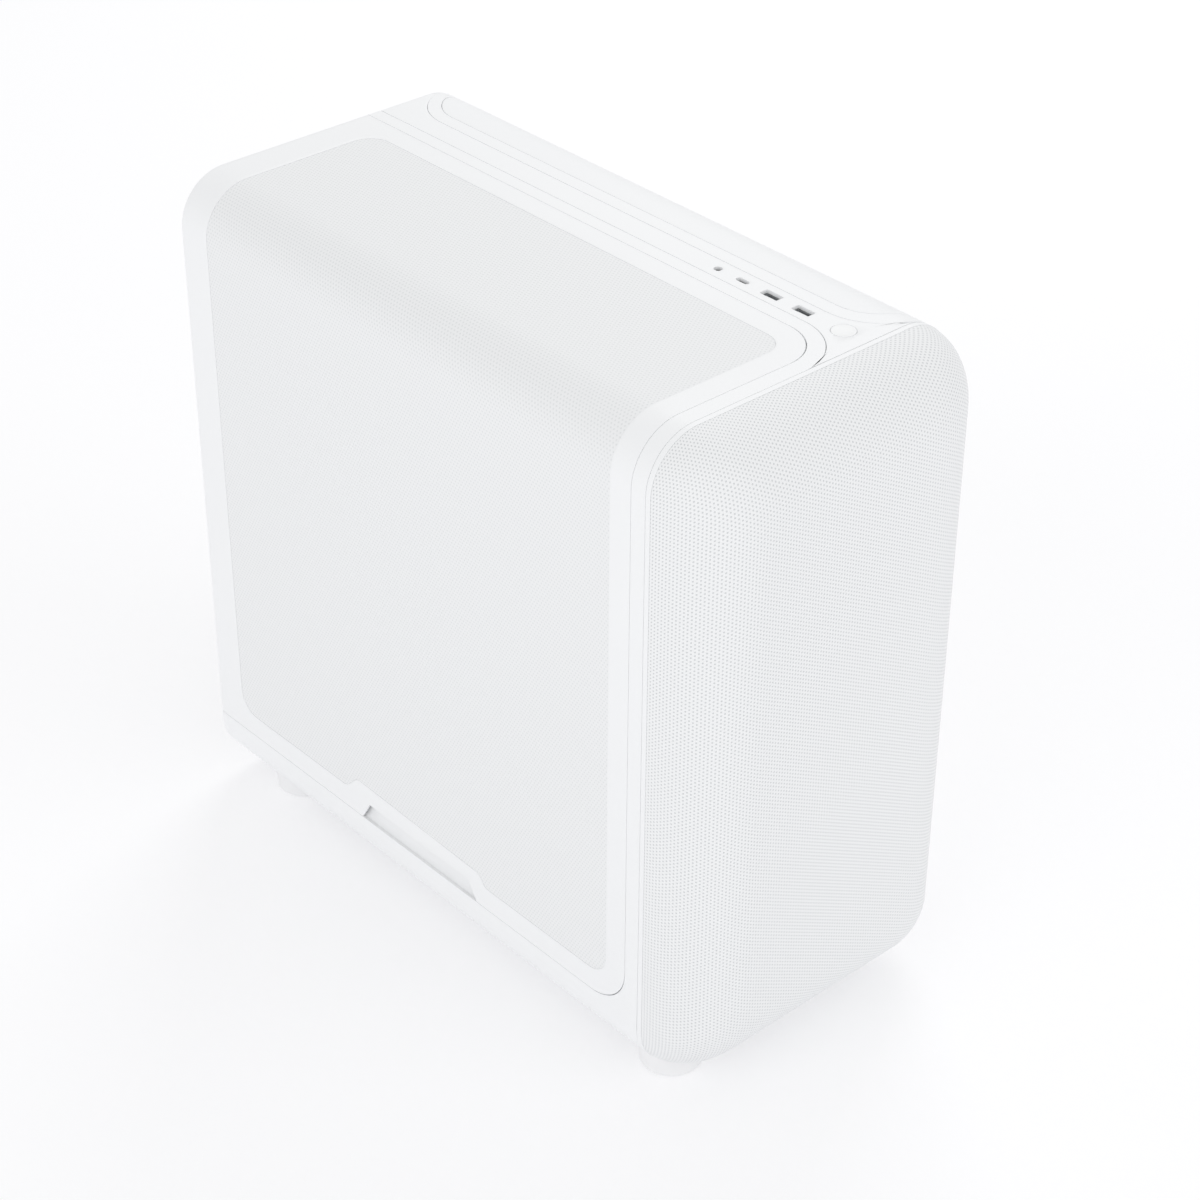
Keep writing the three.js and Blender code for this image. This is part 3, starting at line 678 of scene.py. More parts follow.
@dataclass
class LeftCover:
    """The open side's cover: a folded sheet that wraps over the top, with a punched field."""
    top_x: float = 33.5
    front: float = -184.0
    bottom: float = 54.0
    radius: float = 32.0
    thick: float = 1.6
    mesh_top_x: float = 17.0
    mesh_front: float = -166.6
    mesh_rear: float = 219.0
    mesh_bottom: float = 71.0
    mesh_radius: float = 16.0
    grip: Pair = (-39.6, 82.0)
    grip_top: float = 68.5
    grip_slope: float = 8.5
    notch_front: Pair = (11.0, 1.0)
    notch_rear: Pair = (2.5, 19.0)
    notch_lift: Pair = (8.4, 12.0)
    steps_up: int = 130
    flange_depth: Pair = (0.9, 3.9)

    def _shares(self) -> tuple[list[Array], list[Array]]:
        """Shares along the sides of the outer and the inner line, denser where the grip is cut.

        Returns:
            The outer line's shares and the inner line's, side by side.
        """
        ramp = np.linspace(0, 1, 6)
        y0, y1 = self.grip
        k = self.grip_slope
        (a, b), (c, d) = self.notch_front, self.notch_rear
        outer = dense_shares(self.front + self.radius, SHELL.rear - 1.0, y0 + k * ramp, y1 - k + k * ramp)
        inner = dense_shares(self.mesh_front + self.mesh_radius, self.mesh_rear - self.mesh_radius,
                             y0 - a + (a - b) * ramp, y1 + c + (d - c) * ramp)
        up, over = spread(0, 1, self.steps_up), spread(0, 1, len(outer))
        return [outer, up, over, up], [inner, up, over, up]

    def lines(self) -> tuple[Array, Array, int, int]:
        """The cover's outline, the punched field's outline and the steps along their sides.

        Returns:
            The outer line, the inner line, and the steps of their first and second sides.
        """
        outer_f, inner_f = self._shares()
        outer = rounded_loop((self.front, self.bottom), (SHELL.rear, SHELL.top(-self.top_x)),
                             (self.radius, 1.0, 1.0, self.radius), outer_f)
        inner = rounded_loop((self.mesh_front, self.mesh_bottom),
                             (self.mesh_rear, SHELL.top(-self.mesh_top_x)),
                             (self.mesh_radius,) * 4, inner_f)
        y0, y1 = self.grip
        k = self.grip_slope
        on_low = outer[:, 1] < self.bottom + 1.2
        rise = np.interp(outer[:, 0], [y0, y0 + k, y1 - k, y1], [0, 1, 1, 0])
        outer[:, 1] += on_low * rise * (self.grip_top - self.bottom)
        on_low = inner[:, 1] < self.mesh_bottom + 0.2
        (a, b), (c, d) = self.notch_front, self.notch_rear
        lift = np.interp(inner[:, 0], [y0 - a, y0 - b, y1 + c, y1 + d], [0, 1, 1, 0])
        lift = (3 * lift ** 2 - 2 * lift ** 3) * np.interp(inner[:, 0], [y0, y1], self.notch_lift)
        inner[:, 1] += on_low * lift
        return outer, inner, len(outer_f[0]) + CORNER + 1, self.steps_up + CORNER + 1

    def build(self) -> list[bpy.types.Object]:
        """Make the rim and the punched field.

        Returns:
            The new objects.
        """
        outer, inner, n, m = self.lines()
        rows = lip(0.0, 0.2, self.thick) + face_rows(9, 0.0)
        rows += [(1.0, o, d) for o, d in inner_edge(self.thick)] + face_rows(-9, self.thick)
        place, depth = band(outer, inner, rows)
        rim = Surface()
        rim.grid(SHELL.wrap(-1, place, depth), place, wrap_rows=True, wrap_cols=True)
        tall = np.linspace(self.bottom + 0.4, SHELL.top(-self.top_x) - 0.4, 150)
        near, far = self.flange_depth
        fold = [(0.5, near), (0.5, far - 0.2), (0.8, far), (1.4, far), (1.6, far - 0.2), (1.6, near)]
        flange = np.stack([SHELL.wrap(-1, np.stack([np.full(150, SHELL.rear - y), tall], -1), depth)
                           for y, depth in fold])
        rim.grid(flange, wrap_rows=True)
        rim.cap(flange[:, 0])
        rim.cap(flange[:, -1])
        panel = rim.make("left_panel_sheet", Finishes.panel, "left_cover", "panel_sheet", "left_panel")

        field_line = inner - outward(inner) * FIELD_GAP
        fill = coons(field_line, n, m)
        foil = Surface()
        levels = np.array([[0.3], [1.1]])
        for level in levels:
            foil.grid(SHELL.wrap(-1, fill, level), fill[..., ::-1])
        wall = np.stack([field_line, field_line])
        foil.grid(SHELL.wrap(-1, wall, levels), wall[..., ::-1], wrap_cols=True)
        mesh = foil.make("left_punched_field", Finishes.side_mesh, "left_cover", "mesh_sheet", "left_mesh")
        return [panel, mesh]


@dataclass
class RightCover:
    """The plain side's cover."""
    top_x: float = 72.9
    front: float = -184.0
    rear: float = 237.0
    bottom: float = 54.0
    radius: float = 32.0
    thick: float = 1.6
    soft: float = 0.3

    def build(self) -> list[bpy.types.Object]:
        """Make the folded plain sheet.

        Returns:
            The new objects.
        """
        soft = self.soft
        n, m = 60, 120
        line = rounded_loop((self.front + soft, self.bottom + soft),
                            (self.rear - soft, SHELL.top(self.top_x) - soft), (self.radius - soft,) * 4,
                            [spread(0, 1, n), spread(0, 1, m)] * 2)
        fill = coons(line, n + CORNER + 1, m + CORNER + 1)
        sheet = Surface()
        sheet.grid(SHELL.wrap(1, fill, 0.0))
        sheet.grid(SHELL.wrap(1, fill, self.thick))
        rings = sheet_rings(line, soft, 0.0, self.thick)
        places = np.stack([r[0] for r in rings])
        depths = np.array([r[1] for r in rings])[:, None]
        sheet.grid(SHELL.wrap(1, places, depths), wrap_cols=True)
        made = sheet.make("right_panel_sheet", Finishes.panel, "right_cover", "panel_sheet", "right_panel")
        return [made]


def quarter(y: float, s: float, radius: float, turn: Array) -> Array:
    """An arc on the unrolled sheet: (y - r sin a, s + r cos a)."""
    return np.stack([y - radius * np.sin(turn), s + radius * np.cos(turn)], axis=-1)


@dataclass
class SideFrames:
    """The two moulded frames round the side covers."""
    cover: LeftCover
    plain: RightCover
    seam: float = 0.28
    crescent: float = 0.95
    band_width: float = 10.5
    front: float = -195.8
    thick: float = 3.6
    ledge: float = 8.0
    ledge_depth: float = 2.2
    rear_radius: float = 42.0
    steps_long: int = 90
    steps_tall: int = 120

    def _rows(self) -> list[Row]:
        """The frame's section: rounded outer lip, face, rounded inner lip and a step under the cover."""
        start = lip(0.0, 0.12, self.thick)
        end = mirrored(lip(0.0, 0.15, self.ledge_depth))
        step = [(1.0, self.ledge, self.ledge_depth), (1.0, self.ledge, self.thick)]
        return start + face_rows(13, 0.0) + end + step + face_rows(-13, self.thick)

    def left_lines(self) -> tuple[Array, Array]:
        """Both lines of the left frame, from the top rear round the front to the bottom rear.

        Returns:
            The outer line and the inner line.
        """
        c = self.cover
        g = self.seam
        s_in, s_out = SHELL.top(-c.top_x - g), SHELL.top(-c.top_x - self.band_width)
        r_in, r_out = c.radius + g - self.crescent, c.radius + self.band_width
        turn = np.linspace(0, HALF_PI, 25)
        n, m, half = self.steps_long + 1, self.steps_tall + 1, CORNER + 1
        low, knee, rear, under = c.bottom - g, c.bottom + 22, SHELL.rear, SHELL.under
        y_in, y_out = c.front - g, self.front
        front = y_in + r_in
        parts_in = [
            np.linspace((rear, s_in), (front, s_in), n),
            quarter(front, s_in - r_in, r_in, turn)[1:],
            np.linspace((y_in, s_in - r_in), (y_in, low + r_in), m)[1:],
            quarter(front, low + r_in, r_in, turn + HALF_PI)[1:],
            np.linspace((front, low), (rear, low), n)[1:],
        ]
        parts_out = [
            np.linspace((rear, s_out), (y_out + r_out, s_out), n),
            quarter(y_out + r_out, s_out - r_out, r_out, turn)[1:],
            np.linspace((y_out, s_out - r_out), (y_out, knee), m)[1:],
            np.linspace((y_out, knee), (y_out, under), half)[1:],
            np.linspace((y_out, under), (front, under), half)[1:],
            np.linspace((front, under), (rear, under), n)[1:],
        ]
        return np.concatenate(parts_out), np.concatenate(parts_in)

    def build(self) -> list[bpy.types.Object]:
        """Make both frames, the left one with its finger recess.

        Returns:
            The new objects.
        """
        outer, inner = self.left_lines()
        rows = self._rows()
        place, depth = band(outer, inner, rows)
        y0, y1 = self.cover.grip
        # under the grip the ledge shrinks to nothing, so that fingers reach the recess
        gap = (inner[:, 1] < 60) & (inner[:, 0] > y0 - 4) & (inner[:, 0] < y1 + 4)
        for k, row in enumerate(rows):
            if row[1] == self.ledge:
                place[k][gap] = inner[gap] + np.array([0.0, 0.02 + 0.02 * (row[2] == self.thick)])
        left = Surface()
        solid = SHELL.wrap(-1, place, depth)
        left.grid(solid, wrap_rows=True)
        # the section's rows paired face to back, so that each end closes as one strip
        front_side = list(range(1, 24))
        back_side = [0] * 4 + list(range(37, 24, -1)) + [24] * 6
        for end in (0, -1):
            left.grid(np.stack([solid[front_side, end], solid[back_side, end]]))
        self._recess(left)
        frame_l = left.make("left_side_frame", Finishes.shell, "chassis", "shell_plastic", "left_frame")

        p, g = self.plain, self.seam
        along = [spread(0, 1, self.steps_long), spread(0, 1, self.steps_tall)] * 2
        inner = rounded_loop((p.front - g, p.bottom - g), (p.rear + g, SHELL.top(p.top_x) + g),
                             (p.radius + g,) * 4, along, 24)
        outer = rounded_loop((self.front, SHELL.under),
                             (SHELL.rear - 0.3, SHELL.top(p.top_x - self.band_width)),
                             (1.0, 1.0, self.rear_radius, self.rear_radius), along, 24)
        place, depth = band(outer, inner, rows)
        right = Surface()
        right.grid(SHELL.wrap(1, place, depth), wrap_rows=True, wrap_cols=True)
        frame_r = right.make("right_side_frame", Finishes.shell, "chassis", "shell_plastic", "right_frame")
        return [frame_l, frame_r]

    def _recess(self, into: Surface) -> None:
        """Line the finger recess: a shelf that runs in from the seam, a fillet and a back wall.

        Args:
            into: the surface that takes it.
        """
        y0, y1 = self.cover.grip
        x = -SHELL.half
        bend = np.linspace(0, HALF_PI, 5)
        face = np.concatenate([
            [[x + 1.0, 52.7]],
            np.stack([x + 1.2 + 3.4 * np.sin(bend), 53.2 + 9.0 * (1 - np.cos(bend))], -1),
            [[x + 4.6, 66.0], [x + 4.6, 74.0]]])
        back = face[::-1] + np.array([1.4, -1.2])
        back[0, 1] = 74.0
        section = np.concatenate([face, back])
        solid = np.stack([np.insert(section, 1, v, axis=1) for v in (y0 - 5, y1 + 1.6)])
        into.tube(solid)


@dataclass
class FrontCover:
    """The pull-off front: a smooth rim and a punched face that rolls round all four sides."""
    start_y: float = -199.7
    lip: float = 0.25
    thick: float = 3.2
    n_wide: int = 34
    n_tall: int = 84

    def way(self) -> Array:
        """Corner shares and normals round the section, starting in the low left corner."""
        along = [spread(0, 1, self.n_wide), spread(0, 1, self.n_tall)] * 2
        corners, turned = [rounded_loop((-1, -1), (1, 1), (r,) * 4, along, 2 * CORNER) for r in (0.0, 1.0)]
        return np.concatenate([corners, turned], axis=1)

    def edge_run(self, way: Array) -> Array:
        """How far along the rounding the punched field starts: the turn whose sine is the share
        (bend - start_y) / nose, times the nose radius, all round the section."""
        turn = math.asin((SHELL.bend - self.start_y) / SHELL.nose)
        return np.full(len(way), SHELL.nose * turn)

    @staticmethod
    def flat_map(p: Array, run: Array | float) -> Array:
        """Unroll the front.

        At the turn t = run / nose each half width of the section, half - nose (1 - cos t), grows
        to its unrolled length half - nose + nose (pi / 2 - t), and the points between grow alike.

        Args:
            p: ... x 3 points.
            run: how far along the rounding they lie.

        Returns:
            ... x 2 map in millimetres.
        """
        t = np.asarray(run, dtype=float)[..., None] / SHELL.nose
        half = np.array([SHELL.half, (SHELL.high - SHELL.low) / 2])
        grown = (half - SHELL.nose + SHELL.nose * (HALF_PI - t)) / (half - SHELL.nose * (1 - np.cos(t)))
        return np.stack([p[..., 0], p[..., 2] - (SHELL.low + SHELL.high) / 2], -1) * grown

    def build(self) -> list[bpy.types.Object]:
        """Make the rim and the punched face.

        Returns:
            The new objects.
        """
        way = self.way()
        start = self.edge_run(way)
        soft = np.linspace(0, HALF_PI, 4)
        rows = [(0 * start, self.thick)]
        rows += [(0 * start + self.lip * (1 - math.cos(a)), self.lip * (1 - math.sin(a))) for a in soft]
        shares = np.linspace(0, 1, 9)[1:-1]
        rows += [(start * f, 0.0) for f in shares]
        rows += [(start + o, d) for o, d in inner_edge(self.thick)]
        rows += [(start * f, self.thick) for f in shares[::-1]]
        run = np.stack([r[0] for r in rows])
        depth = np.array([r[1] for r in rows])[:, None]
        rim = Surface()
        rim.grid(SHELL.round_nose(way, run, depth), wrap_rows=True, wrap_cols=True)
        made_rim = rim.make("front_rim_moulding", Finishes.shell,
                            "front_cover", "shell_plastic", "front_rim")

        skin = Surface()
        n, m = self.n_wide + 2 * CORNER + 1, self.n_tall + 2 * CORNER + 1
        end = SHELL.nose * HALF_PI
        first = start + FIELD_GAP
        run = first + (end - first) * np.linspace(0, 1, 30)[:, None]
        levels = (0.3, 1.0)
        for level in levels:
            roll = SHELL.round_nose(way, run, level)
            skin.grid(roll, self.flat_map(roll, run), wrap_cols=True)
            fill = coons(roll[-1], n, m)
            skin.grid(fill, self.flat_map(fill, end))
        wall = np.stack([SHELL.round_nose(way, run[:1], d)[0] for d in levels])
        skin.grid(wall, self.flat_map(wall, run[:1]), wrap_cols=True)
        face = skin.make("front_punched_face", Finishes.mesh, "front_cover", "mesh_sheet", "front_mesh")
        return [made_rim, face]


@dataclass
class TopStrip:
    """The moulded strip between the two frames, with the openings for the sockets and the button."""
    mid_x: float = 53.2
    left_x: float = 44.3
    right_x: float = 62.1
    left_turn: float = 42.0
    right_turn: float = 42.0
    front: float = -195.8
    thick: float = 2.4
    jack_y: float = -71.5
    usb_c_y: float = -92.7
    usb_a_y: Pair = (-117.3, -143.6)
    power_y: float = -176.6
    power_r: float = 7.9
    across: int = 12
    steps: int = 13
    gap: float = 0.05
    soft: float = 0.12
    patch_ends: tuple[float, ...] = (-61.0, -82.1, -105.0, -130.45, -157.0)
    usb_c_half: Pair = (4.9, 1.9)
    usb_a_half: Pair = (6.9, 3.2)

    def edges(self, y: Array) -> tuple[Array, Array]:
        """Both long edges: straight, then flaring along the frames' corner arcs.

        Args:
            y: places along the strip.

        Returns:
            How far out the left and the right edge lie at each y.
        """
        yl = np.clip(self.front + self.left_turn - y, 0, self.left_turn)
        left = self.left_x - self.left_turn + np.sqrt(np.maximum(self.left_turn ** 2 - yl ** 2, 0))
        yr = np.clip(self.front + self.right_turn - y, 0, self.right_turn)
        yb = np.clip(y - (SHELL.rear - 0.3 - self.right_turn), 0, self.right_turn)
        bend = np.maximum(yr, yb)
        right = self.right_x + self.right_turn - np.sqrt(np.maximum(self.right_turn ** 2 - bend ** 2, 0))
        return left, right

    @staticmethod
    def lay(flat: Array, depth: Array | float) -> Array:
        """Put a place (y, distance to the right of the middle) on the top and round the right edge."""
        return SHELL.wrap(1, np.stack([flat[..., 0], SHELL.top(0) - flat[..., 1]], -1), depth)

    def _across(self, y: Array) -> Array:
        """Rows of places across the strip at each y, evenly spaced from edge to edge.

        Args:
            y: places along the strip.

        Returns:
            rows x places x 2 points.
        """
        left, right = self.edges(y)
        inset = self.gap + self.soft
        left, right = left + inset, right - inset
        share = np.linspace(0, 1, self.across + 1)
        return np.stack([np.broadcast_to(y[:, None], (len(y), len(share))),
                         left[:, None] + (right - left)[:, None] * share], -1)

    def _opening(self, y: float, half: Pair, radius: float) -> Array:
        """An opening's line, walked like the patch round it.

        Args:
            y: the opening's middle.
            half: its half length and half width.
            radius: its corner radius.

        Returns:
            n x 2 points.
        """
        along = [spread(0, 1, self.steps - 2), spread(0, 1, self.across - 9)] * 2
        return rounded_loop((y - half[0], self.mid_x - half[1]), (y + half[0], self.mid_x + half[1]),
                            (radius,) * 4, along, 8)

    def build(self) -> list[bpy.types.Object]:
        """Make the strip out of a plain run and one ringed patch for each opening.

        Returns:
            The new objects.
        """
        strip = Surface()
        soft = self.soft
        ends = [*self.patch_ends, self.front + 0.2 + soft]
        openings = [self._opening(self.jack_y, (2.7, 2.7), 2.69),
                    self._opening(self.usb_c_y, self.usb_c_half, 1.85)]
        openings += [self._opening(y, self.usb_a_half, 0.6) for y in self.usb_a_y]
        openings += [self._opening(self.power_y, (self.power_r,) * 2, self.power_r - 0.01)]
        straight_end = 204.0
        run = np.concatenate([np.linspace(SHELL.rear - 0.2 - soft, straight_end, 24),
                              np.linspace(straight_end, ends[0], 30)[1:]])
        plain = self._across(run)
        left_line, right_line = [plain[:, 0]], [plain[:, -1]]
        for level in (0.0, self.thick):
            strip.grid(self.lay(plain, level))
        rows = [(float(f), 0.0, 0.0) for f in (0.0, 0.35, 0.7)]
        rows += [(1.0, -0.5, 0.0), (1.0, -0.15, 0.15), (1.0, 0.0, 0.5), (1.0, 0.0, self.thick)]
        rows += [(0.0, 0.0, self.thick)]
        block = plain
        for rear, front, hole in zip(ends, ends[1:], openings):
            block = self._across(np.linspace(front, rear, self.steps + 8))
            loop = np.concatenate([block[:-1, 0], block[-1, :-1], block[:0:-1, -1], block[0, :0:-1]])
            left_line.append(block[::-1, 0][1:])
            right_line.append(block[::-1, -1][1:])
            place, depth = band(loop, hole, rows)
            strip.grid(self.lay(place, depth), wrap_cols=True)
        rear_line = plain[0, 1:-1]
        front_line = block[0, 1:-1]
        loop = np.concatenate([*[line[::-1] for line in left_line[::-1]], rear_line, *right_line,
                               front_line[::-1]])
        rings = sheet_rings(loop, soft, 0.0, self.thick)
        out = np.stack([r[0] for r in rings])
        depths = np.array([r[1] for r in rings])[:, None]
        strip.grid(self.lay(out, depths), wrap_cols=True)
        made = strip.make("top_strip_moulding", Finishes.shell, "chassis", "shell_plastic", "top_strip")
        return [made]


# ---------------------------------------------------------------- makers' shapes

def stand(axis: str, local: Array, at: Triple = (0.0, 0.0, 0.0)) -> Array:
    """Turn points whose third coordinate runs along an axis into the object's frame.

    Along y the turn is (x, y, z) -> (x, z, -y), along x it is (x, y, z) -> (z, x, y).

    Args:
        axis: "x", "y" or "z".
        local: ... x 3 points.
        at: where the local origin stands.

    Returns:
        ... x 3 points.
    """
    x, y, z = local[..., 0], local[..., 1], local[..., 2]
    order = {"x": (z, x, y), "y": (x, z, -y), "z": (x, y, z)}[axis]
    return np.stack(order, axis=-1) + np.array(at)


def spun(profile: Sequence[Pair], steps: int = 48) -> Array:
    """Carry a profile of (radius, height) round its axis: (r cos a, r sin a, h).

    Args:
        profile: radius and height of each point.
        steps: points round the axis.

    Returns:
        rows x steps x 3 points.
    """
    r, h = np.array(profile, dtype=float).T
    a = np.linspace(0, FULL_TURN, steps, endpoint=False)
    return np.stack([r[:, None] * np.cos(a), r[:, None] * np.sin(a), h[:, None] + 0 * a], axis=-1)


def slab(into: Surface, axis: str, low: Pair, high: Pair,
         run: Pair, radius: float = 1.0, soft: float = 0.3) -> None:
    """Add a block: a rounded outline carried along an axis, its rims softened at 45 degrees.

    Args:
        into: the surface that takes it.
        axis: "x" with an outline in (y, z), "y" in (x, z) or "z" in (x, y).
        low: lowest corner of the outline.
        high: highest corner of the outline.
        run: where the block starts and ends along the axis.
        radius: corner radius of the outline.
        soft: size of the softened rims.
    """
    along = [spread(0, 1, 1)] * 4
    mid = [(a + b) / 2 for a, b in zip(low, high)]
    loop = rounded_loop(low, high, (radius,) * 4, along, 4)
    half = np.array([(b - a) / 2 for a, b in zip(low, high)])
    inner = mid + (loop - mid) * (1 - soft / half)
    rows = [(inner, run[0]), (loop, run[0] + soft), (loop, run[1] - soft), (inner, run[1])]
    flat = np.stack([np.column_stack([line, np.full(len(line), z)]) for line, z in rows])
    if axis == "y":
        flat = flat * np.array([1.0, -1.0, 1.0])
    solid = stand(axis, flat)
    into.tube(solid)


def pipe(into: Surface, path: Array, across: Array, size: Pair, steps: int = 12) -> None:
    """Carry an ellipse along a flat path, and round its ends off.

    A ring is path + size0 cos a side + size1 sin a across, where side is square to both the
    path and across; the first and last rings shrink to close the ends.

    Args:
        into: the surface that takes it.
        path: n x 3 points.
        across: the unit vector square to the path's plane.
        size: half width in the path's plane and half height across it.
        steps: points round the section.
    """
    ahead = np.gradient(path, axis=0)
    ahead /= np.linalg.norm(ahead, axis=1, keepdims=True)
    side = np.cross(ahead, across)
    a = np.linspace(0, FULL_TURN, steps, endpoint=False)
    shrink = np.ones(len(path))
    shrink[[0, -1]] = 0.55
    ring = (size[0] * np.cos(a)[None, :, None] * side[:, None]
            + size[1] * np.sin(a)[None, :, None] * across)
    solid = path[:, None] + ring * shrink[:, None, None]
    into.tube(solid)


def blocks(axis: str, *rows: Block, into: Surface | None = None) -> Surface:
    """Add several blocks that run along one axis.

    Args:
        axis: the axis, as for `slab`.
        rows: each block's outline corners, its run, its corner radius and its soft rims.
        into: the surface that takes them, or none for a new one.

    Returns:
        The surface.
    """
    made = Surface() if into is None else into
    for row in rows:
        slab(made, axis, *row)
    return made


def lathe(into: Surface, profile: Sequence[Pair], axis: str,
          at: Triple, steps: int = 32) -> None:
    """Add a turned piece whose profile starts and ends on its axis."""
    into.grid(stand(axis, spun(profile, steps), at), wrap_cols=True)


# ---------------------------------------------------------------- small outer pieces

@dataclass
class Feet:
    """Four soft feet that flare into the underside."""
    radius: float = 20.5
    sole: float = 19.0
    flare: float = 3.2
    gap: float = 0.35
    places: tuple[Pair, ...] = ((-84.0, -190.0), (-84.0, 198.0), (84.0, -190.0), (84.0, 198.0))

    def under(self, p: Array) -> Array:
        """Height of the body's underside over a place: the edge circle, low + r - sqrt(r^2 - d^2).

        Args:
            p: ... x 2 places on the floor.

        Returns:
            The heights.
        """
        d = np.clip(np.abs(p[..., 0]) - (SHELL.half - SHELL.edge), 0, SHELL.edge - 1)
        n = np.clip(SHELL.bend - p[..., 1], 0, SHELL.nose - 1)
        lift = SHELL.edge - np.sqrt(SHELL.edge ** 2 - d ** 2)
        return SHELL.low + lift + SHELL.nose - np.sqrt(SHELL.nose ** 2 - n ** 2)

    def build(self) -> list[bpy.types.Object]:
        """Make each foot: a sole, then a wall that widens with the cube of its height.

        Returns:
            The new objects.
        """
        made = []
        a = np.linspace(0, FULL_TURN, 64, endpoint=False)
        face = np.stack([np.cos(a), np.sin(a)], -1)
        v = np.linspace(0, 1, 12)[:, None]
        sole = np.array([0.0, 0.6, 0.92, 1.0])[:, None] * self.sole
        reach = np.concatenate([sole, self.radius + self.flare * v ** 3])
        lid_reach = reach[-1] * np.array([1.0, 0.75, 0.5, 0.25, 0.0])[:, None]
        soft_rim = np.array([0.0, 0.0, 0.0, 0.35])[:, None] + 0 * a
        for k, place in enumerate(self.places, start=1):
            p = np.array(place) + reach[..., None] * face
            rise = 1.5 + (self.under(p)[4:] - self.gap - 1.5) * v
            foot = Surface()
            foot.grid(np.concatenate([p, np.concatenate([soft_rim, rise])[..., None]], -1), wrap_cols=True)
            lid = np.array(place) + lid_reach[..., None] * face
            foot.grid(np.concatenate([lid, (self.under(lid) - self.gap)[..., None]], -1), wrap_cols=True)
            piece = foot.make(f"foot_pad_{k}", Finishes.rubber, "chassis", "foot_rubber", f"foot_{k}")
            made.append(piece)
        return made


@dataclass
class FrontPorts:
    """The button and the sockets under the top strip."""
    strip: TopStrip
    top: float = 469.3
    floor: float = 455.3
    sheet: float = 0.4
    usb_a_half: Pair = (3.5, 7.2)
    usb_c_half: Pair = (2.2, 5.2)
    button_gap: float = 0.18
    button_low: float = -11.0

    def _shell(self, name: str, y: float, half: Pair, radius: float, node: str) -> bpy.types.Object:
        """Draw one socket's folded steel shell, open at the top.

        The section goes up the outer wall, over the rim and down the inner wall to the floor.

        Args:
            name: the object's name.
            y: the socket's middle.
            half: half width and half length.
            radius: its corner radius.
            node: the CAD node that it stands for.

        Returns:
            The new object.
        """
        along = [spread(0, 1, 6)] * 4
        x, top = self.strip.mid_x, self.top
        rings = []
        for g, z in ((0.0, self.floor), (0.0, top - 0.15), (0.12, top), (0.28, top),
                     (self.sheet, top - 0.15), (self.sheet, self.floor + 2.0)):
            a, b = half[0] - g, half[1] - g
            line = rounded_loop((x - a, y - b), (x + a, y + b), (max(radius - g, 0.2),) * 4, along, 8)
            rings.append(np.insert(line, 2, z, axis=1))
        shell = Surface()
        shell.tube(np.stack(rings))
        return shell.make(name, Finishes.plated, "chassis", "port_steel", node)

    def build(self) -> list[bpy.types.Object]:
        """Make the button, the four sockets and their tongues.

        Returns:
            The new objects.
        """
        x, t, floor = self.strip.mid_x, self.strip, self.floor + 1.0
        r, low = t.power_r - self.button_gap, self.button_low
        cap, jack = Surface(), Surface()
        lathe(cap, [(0.0, -0.5), (r * 0.3, -0.47), (r * 0.6, -0.36), (r * 0.8, -0.2), (r - 0.5, 0.0),
                    (r - 0.15, -0.06), (r, -0.25), (r, low), (2.4, low), (2.0, low - 0.15), (0.0, low - 0.2)],
              "z", (x, t.power_y, SHELL.high), 64)
        made = [cap.make("power_button_cap", Finishes.button, "button", "button_plastic", "power_button")]
        for k, y in enumerate(t.usb_a_y, start=1):
            made.append(self._shell(f"usb_a_shell_{k}", y, self.usb_a_half, 0.9, f"usb_a_{k}"))
        made.append(self._shell("usb_c_shell", t.usb_c_y, self.usb_c_half, 2.1, "usb_c"))
        pads = blocks("z", *(((x - 1.0, y - 5.2), (x + 0.9, y + 5.2), (floor, self.top - 0.1), 0.3, 0.2)
                             for y in t.usb_a_y))
        made.append(pads.make("usb_a_tongues", Finishes.shroud, "chassis", "socket_plastic"))
        y = t.usb_c_y
        tongue = blocks("z", ((x - 0.35, y - 3.4), (x + 0.35, y + 3.4), (floor, self.top - 1.2), 0.2, 0.1))
        made.append(tongue.make("usb_c_tongue", Finishes.black, "chassis", "socket_plastic"))
        lathe(jack, [(0.0, -12.0), (1.75, -12.0), (1.75, -0.3), (1.9, 0.0), (2.5, 0.0), (2.6, -0.2), (3.9, -0.3),
                     (3.9, -13.8), (0.0, -14.0)], "z", (x, t.jack_y, self.top), 32)
        made.append(jack.make("headset_socket", Finishes.black, "chassis", "socket_plastic", "headset_jack"))
        return made


# ---------------------------------------------------------------- moving air

